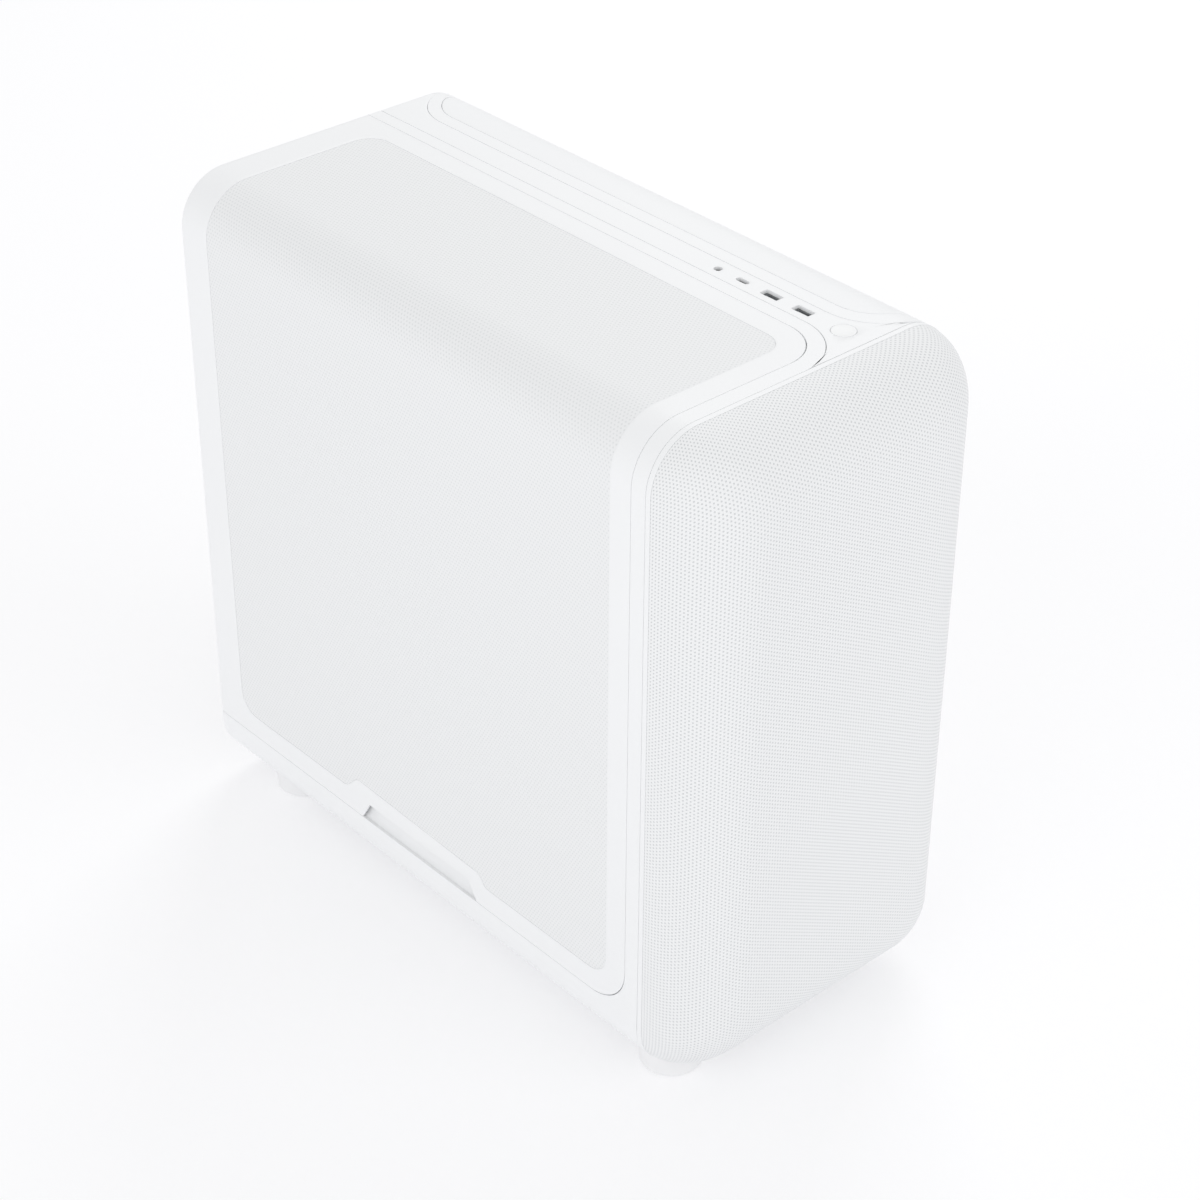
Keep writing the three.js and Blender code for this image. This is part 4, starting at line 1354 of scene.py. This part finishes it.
@dataclass
class Fan:
    """One axial fan: a square frame round a circular duct, and a hub with twisted blades."""
    name: str
    axis: str
    at: Triple
    rotor_at: Triple
    body: str
    rotor_node: str
    frame_node: str | None = None
    finish: Finish = Finishes.blade
    slot: str = "fan_blade"
    half: float = 59.7
    bore: float = 57.0
    depth: float = 25.0
    hub: float = 20.0
    reach: float = 54.5
    rotor_depth: float = 20.0
    blades: int = 7

    def _frame(self) -> bpy.types.Object:
        """Draw the frame: square flanges, a round duct with flared mouths, and four swept arms.

        Returns:
            The new object.
        """
        h = self.half
        along = [spread(0, 1, 19)] * 4
        square = rounded_loop((-h, -h), (h, h), (6.0,) * 4, along, 12)
        face = square / np.linalg.norm(square, axis=1, keepdims=True)
        small = square * (1 - 0.5 / h)
        b, d = self.bore, self.depth
        barrel = face * (b + 1.6)
        near = [(face * b, 1.5), (face * (b + 0.4), 0.5), (face * (b + 1.3), 0.0), (small, 0.0),
                (square, 0.5), (square, 3.6), (small, 4.1), (barrel, 4.1)]
        rows = near + [(line, d - z) for line, z in near[::-1]]
        solid = np.stack([np.insert(line, 2, z, axis=1) for line, z in rows])
        made = Surface()
        made.grid(stand(self.axis, solid, self.at), wrap_rows=True, wrap_cols=True)
        cup = self.hub - 1.0
        lathe(made, [(0.0, d - 3.2), (cup - 0.6, d - 3.2), (cup, d - 2.6), (cup, d - 0.5), (cup - 0.6, d),
                     (0.0, d)], self.axis, self.at)
        r = np.linspace(self.hub - 2, b + 0.8, 9)
        for k in range(4):
            turn = k * HALF_PI + math.pi / 4 + 0.3 * (r - self.hub) / (b - self.hub)
            path = np.stack([r * np.cos(turn), r * np.sin(turn), np.full(len(r), d - 1.7)], -1)
            arm = Surface()
            pipe(arm, path, UP, (2.1, 1.4), 8)
            for points in arm.points:
                points[:] = stand(self.axis, points, self.at)
            made.points += arm.points
            made.maps += arm.maps
            made.quads += [q + made.count for q in arm.quads]
            made.count += arm.count
        piece = made.make(f"{self.name}_frame", Finishes.fan, "chassis", "fan_frame", str(self.frame_node))
        return piece

    def _blade(self, start: float) -> Array:
        """One blade: rows along the radius of a thin cambered section.

        At radius share u and chord share c the angle is start + sweep u^2 + (c - 1/2) width,
        the height is the middle + (c - 1/2) pitch (1.05 - 0.3 u) + camber sin(pi c), and
        the skin lies t/2 above or below that, with t growing as the root of sin(pi c).

        Args:
            start: the angle at the blade's root.

        Returns:
            rows x 20 x 3 points, before the blade is stood on its axis.
        """
        u = np.linspace(0, 1, 10)[:, None]
        c = np.concatenate([np.linspace(0, 1, 11), np.linspace(1, 0, 11)[1:-1]])[None]
        side = np.concatenate([np.ones(11), -np.ones(9)])[None]
        r = self.hub - 1.2 + (self.reach - self.hub + 1.2) * u
        width = FULL_TURN / self.blades * (0.62 + 0.22 * u)
        angle = start + 0.34 * u ** 2 + (c - 0.5) * width
        bow = np.sin(math.pi * c)
        thick = (0.5 + 1.2 * np.sqrt(np.maximum(bow, 0))) * (1 - 0.35 * u)
        pitch = self.rotor_depth * 0.8
        z = self.rotor_depth / 2 + (c - 0.5) * pitch * (1.05 - 0.3 * u) + 1.3 * bow + side * thick / 2
        return np.stack([r * np.cos(angle), r * np.sin(angle), np.clip(z, 0.2, self.rotor_depth - 0.2)], -1)

    def _rotor(self) -> bpy.types.Object:
        """Draw the hub, a cup with a rounded rim, and its blades.

        Returns:
            The new object.
        """
        h, d = self.hub, self.rotor_depth
        made = Surface()
        lathe(made, [(0.0, 0.3), (h * 0.55, 0.3), (h * 0.6, 0.0), (h - 1.4, 0.0), (h - 0.4, 0.4), (h, 1.4),
                     (h, d - 0.8), (h - 0.6, d), (0.0, d)], self.axis, self.rotor_at, 64)
        for k in range(self.blades):
            solid = stand(self.axis, self._blade(FULL_TURN * k / self.blades), self.rotor_at)
            made.tube(solid)
        piece = made.make(f"{self.name}_rotor", self.finish, self.body, self.slot, self.rotor_node)
        return piece

    def build(self) -> list[bpy.types.Object]:
        """Make the rotor, and the frame where the fan has its own."""
        made = [self._rotor()]
        return made + ([self._frame()] if self.frame_node else [])


def all_fans() -> list[Fan]:
    """Every fan in its place: three in front, one behind, one on the cooler, two on the card, one in
    the supply.

    Returns:
        The fans.
    """
    fans = []
    for k, z in enumerate((122.0, 243.5, 365.0), start=1):
        fans.append(Fan(f"front_fan_{k}", "y", (0.0, -193.9, z), (0.0, -193.2, z), f"front_impeller_{k}",
                        f"front_rotor_{k}", f"front_fan_{k}"))
    for part, x, y, z in (("rear", -52.0, 218.0, 384.0), ("cooler", -14.8, 82.6, 362.0)):
        fans.append(Fan(f"{part}_fan", "y", (x, y, z), (x, y + 0.7, z), f"{part}_impeller", f"{part}_rotor",
                        f"{part}_fan"))
    for k, y in enumerate((40.0, 145.0), start=1):
        fans.append(Fan(f"card_fan_{k}", "z", (0.0, 0.0, 0.0), (11.0, y, 203.68), f"card_impeller_{k}",
                        f"graphics_rotor_{k}", hub=16.0, reach=43.5, rotor_depth=14.0, blades=11))
    fans.append(Fan("supply_fan", "z", (0.0, 0.0, 0.0), (11.0, 162.7, 24.0), "supply_impeller",
                    "supply_rotor", finish=Finishes.dark_blade, slot="supply_blade", hub=18.0, reach=57.0,
                    rotor_depth=14.0))
    return fans


# ---------------------------------------------------------------- filters

@dataclass
class Filters:
    """The three dust screens: thin woven sheets, the lower one in a moulded frame."""
    thick: float = 0.4

    def _screen(self, name: str, face: Array, back: Array, body: str,
                slot: str, node: str | None, finish: Finish) -> bpy.types.Object:
        """Args:
            name: the object's name.
            face: grid of its outer face.
            back: grid of its inner face.
            body: the body that it rides on.
            slot: the record's material slot.
            node: the CAD node that it stands for, or none.
            finish: what it is dressed in.

        Returns:
            The new object.
        """
        sheet = Surface()
        sheet.grid(face)
        sheet.grid(back)
        rim = [np.concatenate([g[0, :-1], g[:-1, -1], g[-1, :0:-1], g[:0:-1, 0]]) for g in (face, back)]
        sheet.grid(np.stack(rim), wrap_cols=True)
        made = sheet.make(name, finish, body, slot, *([node] if node else []))
        return made

    def build(self) -> list[bpy.types.Object]:
        """Make the side screen, which follows the cover round its edge, the front one and the lower one.

        Returns:
            The new objects.
        """
        y, s = np.meshgrid(np.linspace(-169.4, 221.8, 50), np.linspace(68.3, SHELL.top(19.5), 90))
        flat = np.stack([y, s], -1)
        depth = 2.9
        side = [SHELL.wrap(-1, flat, d) for d in (depth, depth + self.thick)]
        made = [self._screen("side_filter_screen", side[0], side[1], "left_cover",
                             "filter_cloth", "left_filter", Finishes.cloth)]
        x, z = np.meshgrid(np.linspace(-99.5, 99.5, 20), np.linspace(66.5, 417.5, 30))
        front = [np.stack([x, np.full_like(x, v), z], -1) for v in (-200.9, -200.9 + self.thick)]
        made.append(self._screen("front_filter_screen", front[0], front[1], "front_cover",
                                 "filter_cloth", "front_filter", Finishes.cloth))
        x, y = np.meshgrid(np.linspace(-46.5, 52.5, 14), np.linspace(65.5, 234.5, 20))
        low = [np.stack([x, y, np.full_like(x, v)], -1) for v in (9.8, 9.8 + self.thick)]
        tray = self._tray()
        made += [tray, self._screen("base_filter_screen", low[0], low[1], "bottom_tray",
                                    "filter_frame", None, Finishes.screen)]
        return made

    def _tray(self) -> bpy.types.Object:
        """Draw the lower frame: a rounded rectangle's band with two ribs and a pull tab.

        Returns:
            The new object.
        """
        along = [spread(0, 1, 8), spread(0, 1, 14)] * 2
        outer = rounded_loop((-52, 60), (58, 240), (4.0,) * 4, along, 8)
        inner = rounded_loop((-46, 66), (52, 234), (2.0,) * 4, along, 8)
        rows = [(0.0, 0.3, 8.85), (0.0, 0.0, 9.2), (0.0, 0.0, 11.2), (0.0, 0.3, 11.55), (1.0, -0.3, 11.55),
                (1.0, 0.0, 11.2), (1.0, 0.0, 9.2), (1.0, -0.3, 8.85)]
        place, height = band(outer, inner, rows)
        frame = Surface()
        frame.grid(np.concatenate([place, np.broadcast_to(height[..., None], (*place.shape[:2], 1))], -1),
                   wrap_rows=True, wrap_cols=True)
        for y in (122.0, 178.0):
            slab(frame, "z", (-47.0, y - 1.2), (53.0, y + 1.2), (8.9, 9.7), 0.5, 0.2)
        slab(frame, "z", (-12.0, 233.0), (18.0, 239.0), (8.85, 9.9), 2.0, 0.3)
        made = frame.make("base_filter_tray", Finishes.screen, "bottom_tray", "filter_frame", "base_filter")
        return made


# ---------------------------------------------------------------- inside

@dataclass
class TowerCooler:
    """Rolled fins threaded on four bent copper pipes that rise from a plated block."""
    start: float = -73.3
    end: float = 41.0
    pitch: float = 2.4
    thick: float = 0.45
    block_x: float = 71.6
    pipe_r: float = 3.0

    def _fin(self, into: Surface, x: float) -> None:
        """Add one fin: a rectangle whose long edges carry shallow waves, three crests to a side.

        Args:
            into: the surface that takes it.
            x: where the fin starts.
        """
        t = np.linspace(0, 1, 19)[:-1]
        wave = 1.6 * (1 - np.cos(6 * math.pi * t)) / 2
        near, far = 108.2 + wave, 155.8 - wave
        z = 304.2 + 115.6 * t
        loop = np.concatenate([np.stack([near, z], -1), [[108.2, 419.8], [155.8, 419.8]],
                               np.stack([far, z], -1)[::-1]])
        pts = [np.column_stack([np.full(len(loop), v), loop]) for v in (x, x + self.thick)]
        into.grid(np.stack(pts), wrap_cols=True)
        n = len(loop) // 2
        for side in pts:
            into.grid(np.stack([side[:n], side[::-1][:n]]))

    def build(self) -> list[bpy.types.Object]:
        """Make the fin stack, the pipes and the block.

        Returns:
            The new objects.
        """
        fins = Surface()
        for x in np.arange(self.start + 0.2, self.end, self.pitch):
            self._fin(fins, float(x))
        stack = fins.make("cooler_fin_stack", Finishes.fins, "chassis", "sink_aluminium", "cooler_sink")
        bend = np.linspace(0, HALF_PI, 9)
        turn, foot = 11.0, self.block_x - 8.0
        pipes = Surface()
        for y, low, high in zip((116.5, 126.5, 137.5, 147.5), (328.0, 336.0) * 2, (396.0, 388.0) * 2):
            out = np.linspace(self.start + 0.4, foot - turn, 12)
            xs = np.concatenate([out, foot - turn + turn * np.sin(bend[1:]), np.full(4, foot),
                                 foot - turn + turn * np.sin(bend[:-1][::-1]), out[::-1]])
            zs = np.concatenate([np.full(12, low), low + turn * (1 - np.cos(bend[1:])),
                                 np.linspace(low + turn, high - turn, 6)[1:-1],
                                 high - turn * (1 - np.cos(bend[:-1][::-1])), np.full(12, high)])
            route = np.stack([xs, np.full(len(xs), y), zs], -1)
            pipe(pipes, route, np.array([0.0, 1.0, 0.0]), (self.pipe_r, self.pipe_r), 14)
        bent = pipes.make("cooler_heat_pipes", Finishes.copper, "chassis", "sink_aluminium")
        x = self.block_x
        bars = [((104.0, z), (160.0, z + 6.0), (x - 15.5, x - 12.4), 2.0, 0.4) for z in (352.0, 366.0)]
        base = blocks("x", ((112.2, 344.2), (151.8, 379.8), (x - 12.5, x), 2.0, 0.5), *bars)
        block = base.make("cooler_base", Finishes.plated, "chassis", "sink_aluminium")
        return [stack, bent, block]


@dataclass
class Mainboard:
    """The board with its sockets, heat sinks and small parts."""
    face: float = 79.0
    seed: int = 11
    slot_z: tuple[float, ...] = (233.5, 192.9, 152.2)
    memory_y: tuple[float, ...] = (52.0, 59.0, 66.0, 73.0)
    chips: tuple[Pair, ...] = ((176.0, 160.0), (150.0, 268.0), (196.0, 226.0), (84.0, 290.0), (30.0, 280.0))
    small_parts: int = 90

    def _sockets(self) -> Surface:
        """Card slots, memory slots, plugs, chips and seeded small parts, all of black plastic.

        Returns:
            The surface, not built yet.
        """
        f = self.face
        dark = Surface()
        for z in self.slot_z:
            blocks("x", ((20.0, z - 3.6), (110.0, z + 3.6), (f - 9.0, f), 0.8, 0.3),
                   ((8.0, z - 3.0), (17.5, z + 3.0), (f - 7.0, f), 0.8, 0.3), into=dark)
        blocks("x", ((0.0, 300.0), (9.0, 352.0), (f - 12.0, f), 0.8, 0.4),
               ((150.0, 425.0), (171.0, 436.0), (f - 11.0, f), 0.8, 0.4),
               *(((y + 0.2, 296.0), (y + 5.8, 433.0), (f - 5.0, f), 0.6, 0.3) for y in self.memory_y),
               into=dark)
        rng = np.random.default_rng(self.seed)
        for _ in range(self.small_parts):
            y, z = rng.uniform(6, 230), rng.uniform(138, 294)
            w, h = rng.uniform(1.2, 3.6, 2)
            slab(dark, "x", (y, z), (y + w, z + h), (f - 1.3, f), 0.3, 0.15)
        for y, z in self.chips:
            slab(dark, "x", (y, z), (y + 9.0, z + 9.0), (f - 1.8, f), 0.4, 0.2)
        return dark

    def _sinks(self) -> Surface:
        """The two finned heat sinks of the regulators, the flat ones and the cooler's rails.

        Returns:
            The surface, not built yet.
        """
        f = self.face
        pale = blocks("x", ((186.0, 300.0), (222.0, 424.0), (f - 16.0, f - 1.0), 3.0, 0.8),
                      ((84.0, 424.5), (146.0, 436.0), (f - 14.0, f - 1.0), 2.0, 0.8),
                      ((8.0, 158.0), (66.0, 206.0), (f - 6.0, f - 0.6), 5.0, 0.8),
                      ((118.0, 205.0), (196.0, 225.0), (f - 6.5, f - 0.6), 2.0, 0.6))
        for z in 303.0 + 13.4 * np.arange(9):
            slab(pale, "x", (186.0, z), (222.0, z + 7.0), (f - 25.8, f - 15.5), 1.2, 0.6)
        for y in 86.0 + 10.2 * np.arange(6):
            slab(pale, "x", (y, 424.7), (y + 5.5, 435.8), (f - 21.8, f - 13.5), 1.0, 0.5)
        for y, wide in ((94.0, 10.0), (160.5, 9.5)):
            slab(pale, "x", (y, 322.0), (y + wide, 406.0), (f - 5.5, f), 1.5, 0.5)
        return pale

    def _cans(self) -> Surface:
        """Capacitors with a crimped foot, and the round battery.

        Returns:
            The surface, not built yet.
        """
        cans = Surface()
        spots = [(179.0, 306.0 + 12.5 * k) for k in range(9)] + [(128.0 + 12 * k, 143.0) for k in range(5)]
        spots += [(14.0, 226.0), (14.0, 238.0), (200.0, 262.0), (214.0, 262.0)]
        can = [(0.0, 0.0), (3.1, 0.0), (3.2, -0.8), (3.0, -1.2), (3.2, -1.6), (3.2, -7.2), (2.9, -7.6),
               (0.0, -7.7)]
        for y, z in spots:
            lathe(cans, can, "x", (self.face, y, z), 18)
        cell = [(0.0, 0.0), (10.0, 0.0), (10.0, -2.6), (9.4, -3.2), (0.0, -3.2)]
        lathe(cans, cell, "x", (self.face, 110.0, 176.0), 40)
        return cans

    def build(self) -> list[bpy.types.Object]:
        """Make the bare board, then one mesh for each material on it.

        Returns:
            The new objects.
        """
        f = self.face
        bare = blocks("x", ((-2.0, 132.0), (241.0, 437.0), (f, f + 1.6), 2.0, 0.2))
        made = [bare.make("mainboard_sheet", Finishes.board, "chassis", "circuit_board", "mainboard")]
        for name, part, finish in (("sockets", self._sockets(), Finishes.black),
                                   ("heat_sinks", self._sinks(), Finishes.spreader),
                                   ("capacitors", self._cans(), Finishes.shield)):
            made.append(part.make(f"mainboard_{name}", finish, "chassis", "circuit_board"))
        return made


@dataclass
class CardsAndDrive:
    """Memory, the graphics card's board and bracket, and the drive."""
    card_z: float = 237.68
    stick_y: tuple[float, ...] = (52.0, 66.0)
    ribs: int = 9

    def _memory(self) -> list[bpy.types.Object]:
        """Make the memory sticks' ribbed metal covers.

        Returns:
            The new objects.
        """
        made = []
        for k, y in enumerate(self.stick_y, start=1):
            stick = blocks("y", ((47.0, 299.0), (78.5, 430.5), (y + 0.2, y + 5.8), 1.5, 0.5))
            for z in 306.0 + 13.6 * np.arange(self.ribs):
                slab(stick, "y", (46.1, z), (60.0, z + 8.0), (y + 0.1, y + 5.9), 1.0, 0.3)
            made.append(stick.make(f"memory_spreader_{k}", Finishes.spreader, "chassis", "memory_metal",
                                   f"memory_{k}"))
        return made

    def _card(self) -> list[bpy.types.Object]:
        """Make the graphics card's board with its edge plug, ribbed back plate, bracket and outlets.

        Returns:
            The new objects.
        """
        z = self.card_z
        card = blocks("z", ((-40.0, 0.0), (68.7, 238.0), (z, z + 1.6), 1.5, 0.2),
                      ((60.0, 24.0), (77.0, 106.0), (z, z + 1.6), 1.0, 0.2))
        plate = blocks("z", ((-38.0, 2.0), (64.0, 234.0), (z + 3.4, z + 4.6), 3.0, 0.3))
        for y in 16.0 + 30.0 * np.arange(7):
            slab(plate, "z", (-30.0, y), (56.0, y + 6.0), (z + 4.4, z + 5.4), 2.5, 0.4)
        bracket = blocks("y", ((-34.0, z - 29.8), (77.0, z + 5.8), (242.1, 243.1), 1.0, 0.2),
                         ((-34.0, z - 29.8), (-33.0, z + 5.8), (232.6, 242.6), 0.3, 0.1))
        outlets = Surface()
        for x in (-22.0, 0.0, 22.0, 44.0):
            slab(outlets, "y", (x, z - 5.5), (x + 16.0, z + 0.5), (232.0, 243.6), 1.0, 0.2)
        for x in -24.0 + 6.0 * np.arange(16):
            slab(outlets, "y", (x, z - 25.0), (x + 3.0, z - 14.0), (242.8, 243.3), 1.4, 0.1)
        return [card.make("graphics_board_sheet", Finishes.board, "chassis", "circuit_board",
                          "graphics_board"),
                plate.make("graphics_back_plate", Finishes.shroud, "chassis", "card_plastic"),
                bracket.make("graphics_bracket", Finishes.shield, "chassis", "port_steel"),
                outlets.make("graphics_outlets", Finishes.black, "chassis", "socket_plastic")]

    def build(self) -> list[bpy.types.Object]:
        """Make the pieces out of softened blocks, each with its own ribs.

        Returns:
            The new objects.
        """
        made = self._memory() + self._card()
        disk = blocks("z", ((-94.8, -139.8), (-25.2, -40.2), (113.8, 120.4), 3.0, 0.6),
                      ((-88.0, -132.0), (-32.0, -48.0), (120.2, 120.65), 2.5, 0.2))
        return made + [disk.make("drive_case_sheet", Finishes.case, "chassis", "drive_case", "drive")]


@dataclass
class RearDetails:
    """What shows from behind: socket liners, screws, and the supply's wire grille."""
    wall: float = 244.8
    supply_wall: float = 241.4
    socket_z: tuple[float, ...] = (420.0, 400.0, 376.0, 326.0)
    jack_z: tuple[float, ...] = (302.0, 296.0, 290.0)
    fan_at: Pair = (-52.0, 384.0)
    fan_holes: float = 52.5
    slot_z: float = 256.0
    slot_step: float = 20.32
    grille_at: Triple = (11.0, 162.7, 19.1)
    grille_rings: tuple[float, ...] = (18.0, 28.0, 38.0, 48.0, 58.0)
    wire: float = 0.8

    def _sockets(self) -> list[bpy.types.Object]:
        """Make the steel liners, and the dark mouths and round jacks.

        Returns:
            The new objects.
        """
        steel, dark = Surface(), Surface()
        for z in self.socket_z:
            for low in (z - 5.9, z + 0.9):
                slab(steel, "y", (50.0, low), (70.0, low + 5.0), (238.0, 243.3), 0.8, 0.2)
                slab(dark, "y", (51.0, low + 1.0), (69.0, low + 4.0), (241.0, 243.35), 0.5, 0.05)
                slab(steel, "y", (52.5, low + 2.4), (67.5, low + 3.6), (241.0, 243.5), 0.3, 0.05)
        jack = [(0.0, 0.0), (1.7, 0.0), (1.9, 0.6), (2.7, 0.6), (2.8, 0.2), (2.8, -4.0), (0.0, -4.0)]
        for z, first in zip(self.jack_z, (46.0, 55.0, 46.0)):
            for x in (first, 64.0):
                lathe(dark, jack, "y", (x, 243.5, z), 24)
        return [steel.make("rear_socket_liners", Finishes.plated, "chassis", "port_steel"),
                dark.make("rear_socket_mouths", Finishes.black, "chassis", "socket_plastic")]

    def _screws(self) -> bpy.types.Object:
        """Make the screws of the fan, the slot covers and the supply: dished heads on short shanks.

        Returns:
            The new object.
        """
        (x, z), h = self.fan_at, self.fan_holes
        spots = [(x + a, self.wall + 0.1, z + b) for a in (-h, h) for b in (-h, h)]
        spots += [(a, self.supply_wall + 0.1, b)
                  for a, b in ((-58.0, 30.0), (80.0, 30.0), (80.0, 99.0), (-50.0, 99.0))]
        spots += [(-31.0, self.wall + 0.1, self.slot_z - self.slot_step * k) for k in range(7)]
        head = [(0.0, 0.15), (0.7, 0.15), (0.9, 1.0), (2.3, 0.95), (3.2, 0.55), (3.5, 0.0), (1.4, -0.1),
                (1.4, -3.0), (0.0, -3.0)]
        screws = Surface()
        for spot in spots:
            lathe(screws, head, "y", spot, 20)
        return screws.make("rear_screws", Finishes.plated, "chassis", "port_steel")

    def _grille(self) -> bpy.types.Object:
        """Make the supply's round wires: at the angle a, ring r (cos a, sin a) carries a small circle.

        Returns:
            The new object.
        """
        wires = Surface()
        middle = np.array(self.grille_at)
        a = np.linspace(0, FULL_TURN, 48, endpoint=False)[:, None, None]
        b = np.linspace(0, FULL_TURN, 8, endpoint=False)[None, :, None]
        out = np.concatenate([np.cos(a), np.sin(a), 0 * a], -1)
        for r in self.grille_rings:
            wires.grid(middle + r * out + self.wire * (np.cos(b) * out + np.sin(b) * UP),
                       wrap_rows=True, wrap_cols=True)
        return wires.make("supply_wire_grille", Finishes.can, "chassis", "supply_metal")

    def _rocker(self) -> bpy.types.Object:
        """Make the switch: its side outline carried across, a little smaller at both ends.

        Returns:
            The new object.
        """
        face = np.array([(236.9, 81.5), (241.5, 81.3), (243.9, 81.3), (244.3, 81.7), (243.4, 84.2),
                         (242.8, 87.0), (242.9, 90.0), (243.0, 92.3), (242.6, 92.7), (239.5, 92.7),
                         (236.9, 92.5), (236.7, 87.0)])
        middle = face.mean(axis=0)
        small = middle + (face - middle) * 0.93
        rows = ((small, 45.4), (face, 45.8), (face, 62.2), (small, 62.6))
        rocker = Surface()
        rocker.tube(np.stack([np.insert(line, 0, x, axis=1) for line, x in rows]))
        return rocker.make("supply_rocker_cap", Finishes.black, "rocker", "socket_plastic", "supply_rocker",
                           crease=25.0)

    def build(self) -> list[bpy.types.Object]:
        """Make the liners, the screws, the grille and the switch."""
        return self._sockets() + [self._screws(), self._grille(), self._rocker()]


# ---------------------------------------------------------------- studio

@dataclass
class Studio:
    """Plain pale floor, soft light and the camera."""
    eye: Triple = (-1.02045, -1.15946, 1.24537)
    look: Triple = (0.557389, 0.619139, -0.553159)
    roll: float = 0.35
    lens: float = 84.59
    sky: float = 0.765
    floor_colour: str = "cfcfd0"
    floor_glow: float = 0.595
    sensor: float = 36.0
    aim_height: float = 0.2
    lamps: tuple[tuple[str, Triple, float, float], ...] = (
        ("left_bank", (-2.6, -0.6, 1.6), 2.2, 16.5),
        ("front_bank", (1.2, -3.0, 1.8), 2.2, 15.5),
        ("right_bank", (1.9, 1.3, 2.3), 1.6, 17.0))

    def camera(self) -> None:
        """Place the camera on its sight line and roll it."""
        ahead = Vector(self.look).normalized()
        right = ahead.cross(Vector((0, 0, 1))).normalized()
        up = right.cross(ahead)
        r = math.radians(self.roll)
        side = right * math.cos(r) + up * math.sin(r)
        over = up * math.cos(r) - right * math.sin(r)
        data = bpy.data.cameras.new("camera")
        data.lens, data.sensor_width, data.sensor_fit = self.lens, self.sensor, "HORIZONTAL"
        data.clip_end = 60.0
        made = bpy.data.objects.new("camera", data)
        turn = Matrix((side, over, -ahead)).transposed().to_4x4()
        made.matrix_world = Matrix.Translation(self.eye) @ turn
        bpy.context.scene.collection.objects.link(made)
        bpy.context.scene.camera = made

    def lamp(self, name: str, place: Triple, size: float, power: float) -> None:
        """Hang one soft square light that faces the object.

        Args:
            name: the light's name.
            place: where it hangs, in metres.
            size: its side, in metres.
            power: its power in watts.
        """
        data = bpy.data.lights.new(name, "AREA")
        data.shape, data.size, data.energy = "SQUARE", size, power
        made = bpy.data.objects.new(name, data)
        aim = (Vector((0, 0, self.aim_height)) - Vector(place)).to_track_quat("-Z", "Y")
        made.matrix_world = Matrix.Translation(place) @ aim.to_matrix().to_4x4()
        bpy.context.scene.collection.objects.link(made)

    def floor(self) -> None:
        """Lay the floor: height 0 near the object, rising as a far soft curve in distance squared."""
        reach = np.linspace(-1, 1, 61)
        bend = np.sign(reach) * np.abs(reach) ** 1.5 * 9000
        x, y = np.meshgrid(bend, bend)
        z = 400 * np.maximum(np.hypot(x, y) / 4000 - 1, 0) ** 2 - 0.05
        ground = Surface()
        ground.grid(np.stack([x, y, z], -1))
        finish = Finish("lit_paper_floor", self.floor_colour, 0.95, Grain.POWDER, 60.0, 0.01, ior=1.05,
                        glow=self.floor_glow)
        made = ground.build("floor", finish)
        if made.data.polygons[len(made.data.polygons) // 2].normal.z < 0:
            made.data.flip_normals()

    def build(self) -> None:
        """Set up camera, floor, sky and lights."""
        self.camera()
        self.floor()
        world = bpy.data.worlds.new("soft_box")
        bpy.context.scene.world = world
        world.use_nodes = True
        back = world.node_tree.nodes["Background"]
        back.inputs[0].default_value = (1.0, 1.0, 1.0, 1.0)
        back.inputs[1].default_value = self.sky
        for lamp in self.lamps:
            self.lamp(*lamp)
        bpy.context.scene.view_settings.view_transform = "Standard"


def dress(frame: dict[str, Any]) -> None:
    """Give every CAD node that stays its finish.
    """
    worn_by = {
        Finishes.cloth: "left_filter front_filter",
        Finishes.screen: "base_filter",
        Finishes.button: "power_button",
        Finishes.black: "supply_rocker port_block headset_jack button_switch supply_inlet",
        Finishes.dark_blade: "supply_rotor",
        Finishes.board: "mainboard port_card graphics_board",
        Finishes.shield: "port_shield",
        Finishes.plated: "usb_a_1 usb_a_2 usb_c",
        Finishes.spreader: "memory_1 memory_2",
        Finishes.fins: "cooler_sink",
        Finishes.shroud: "graphics_cover",
        Finishes.can: "supply_can",
        Finishes.core: "supply_core",
        Finishes.case: "drive",
    }
    wear = {name: finish for finish, names in worn_by.items() for name in names.split()}
    families = {"rotor": Finishes.blade, "fan": Finishes.fan, "foot": Finishes.rubber}
    for name, node in frame["nodes"].items():
        family = next((finish for word, finish in families.items() if word in name), Finishes.chassis)
        for place in node.material_slots:
            place.material = wear.get(name, family).material()


def main() -> None:
    """Build every piece in order and report it."""
    logging.basicConfig(level=logging.INFO, format="%(name)s %(message)s")
    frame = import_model()
    Studio().build()
    dress(frame)
    cover, plain = LeftCover(), RightCover()
    strip = TopStrip()
    makers = [cover, plain, SideFrames(cover, plain), FrontCover(), strip, FrontPorts(strip), Feet()]
    makers += [Filters(), TowerCooler(), Mainboard(), CardsAndDrive(), RearDetails()]
    for maker in makers + all_fans():
        for piece in maker.build():
            log.info("made %s", piece.name)


if __name__ == "__main__":
    main()
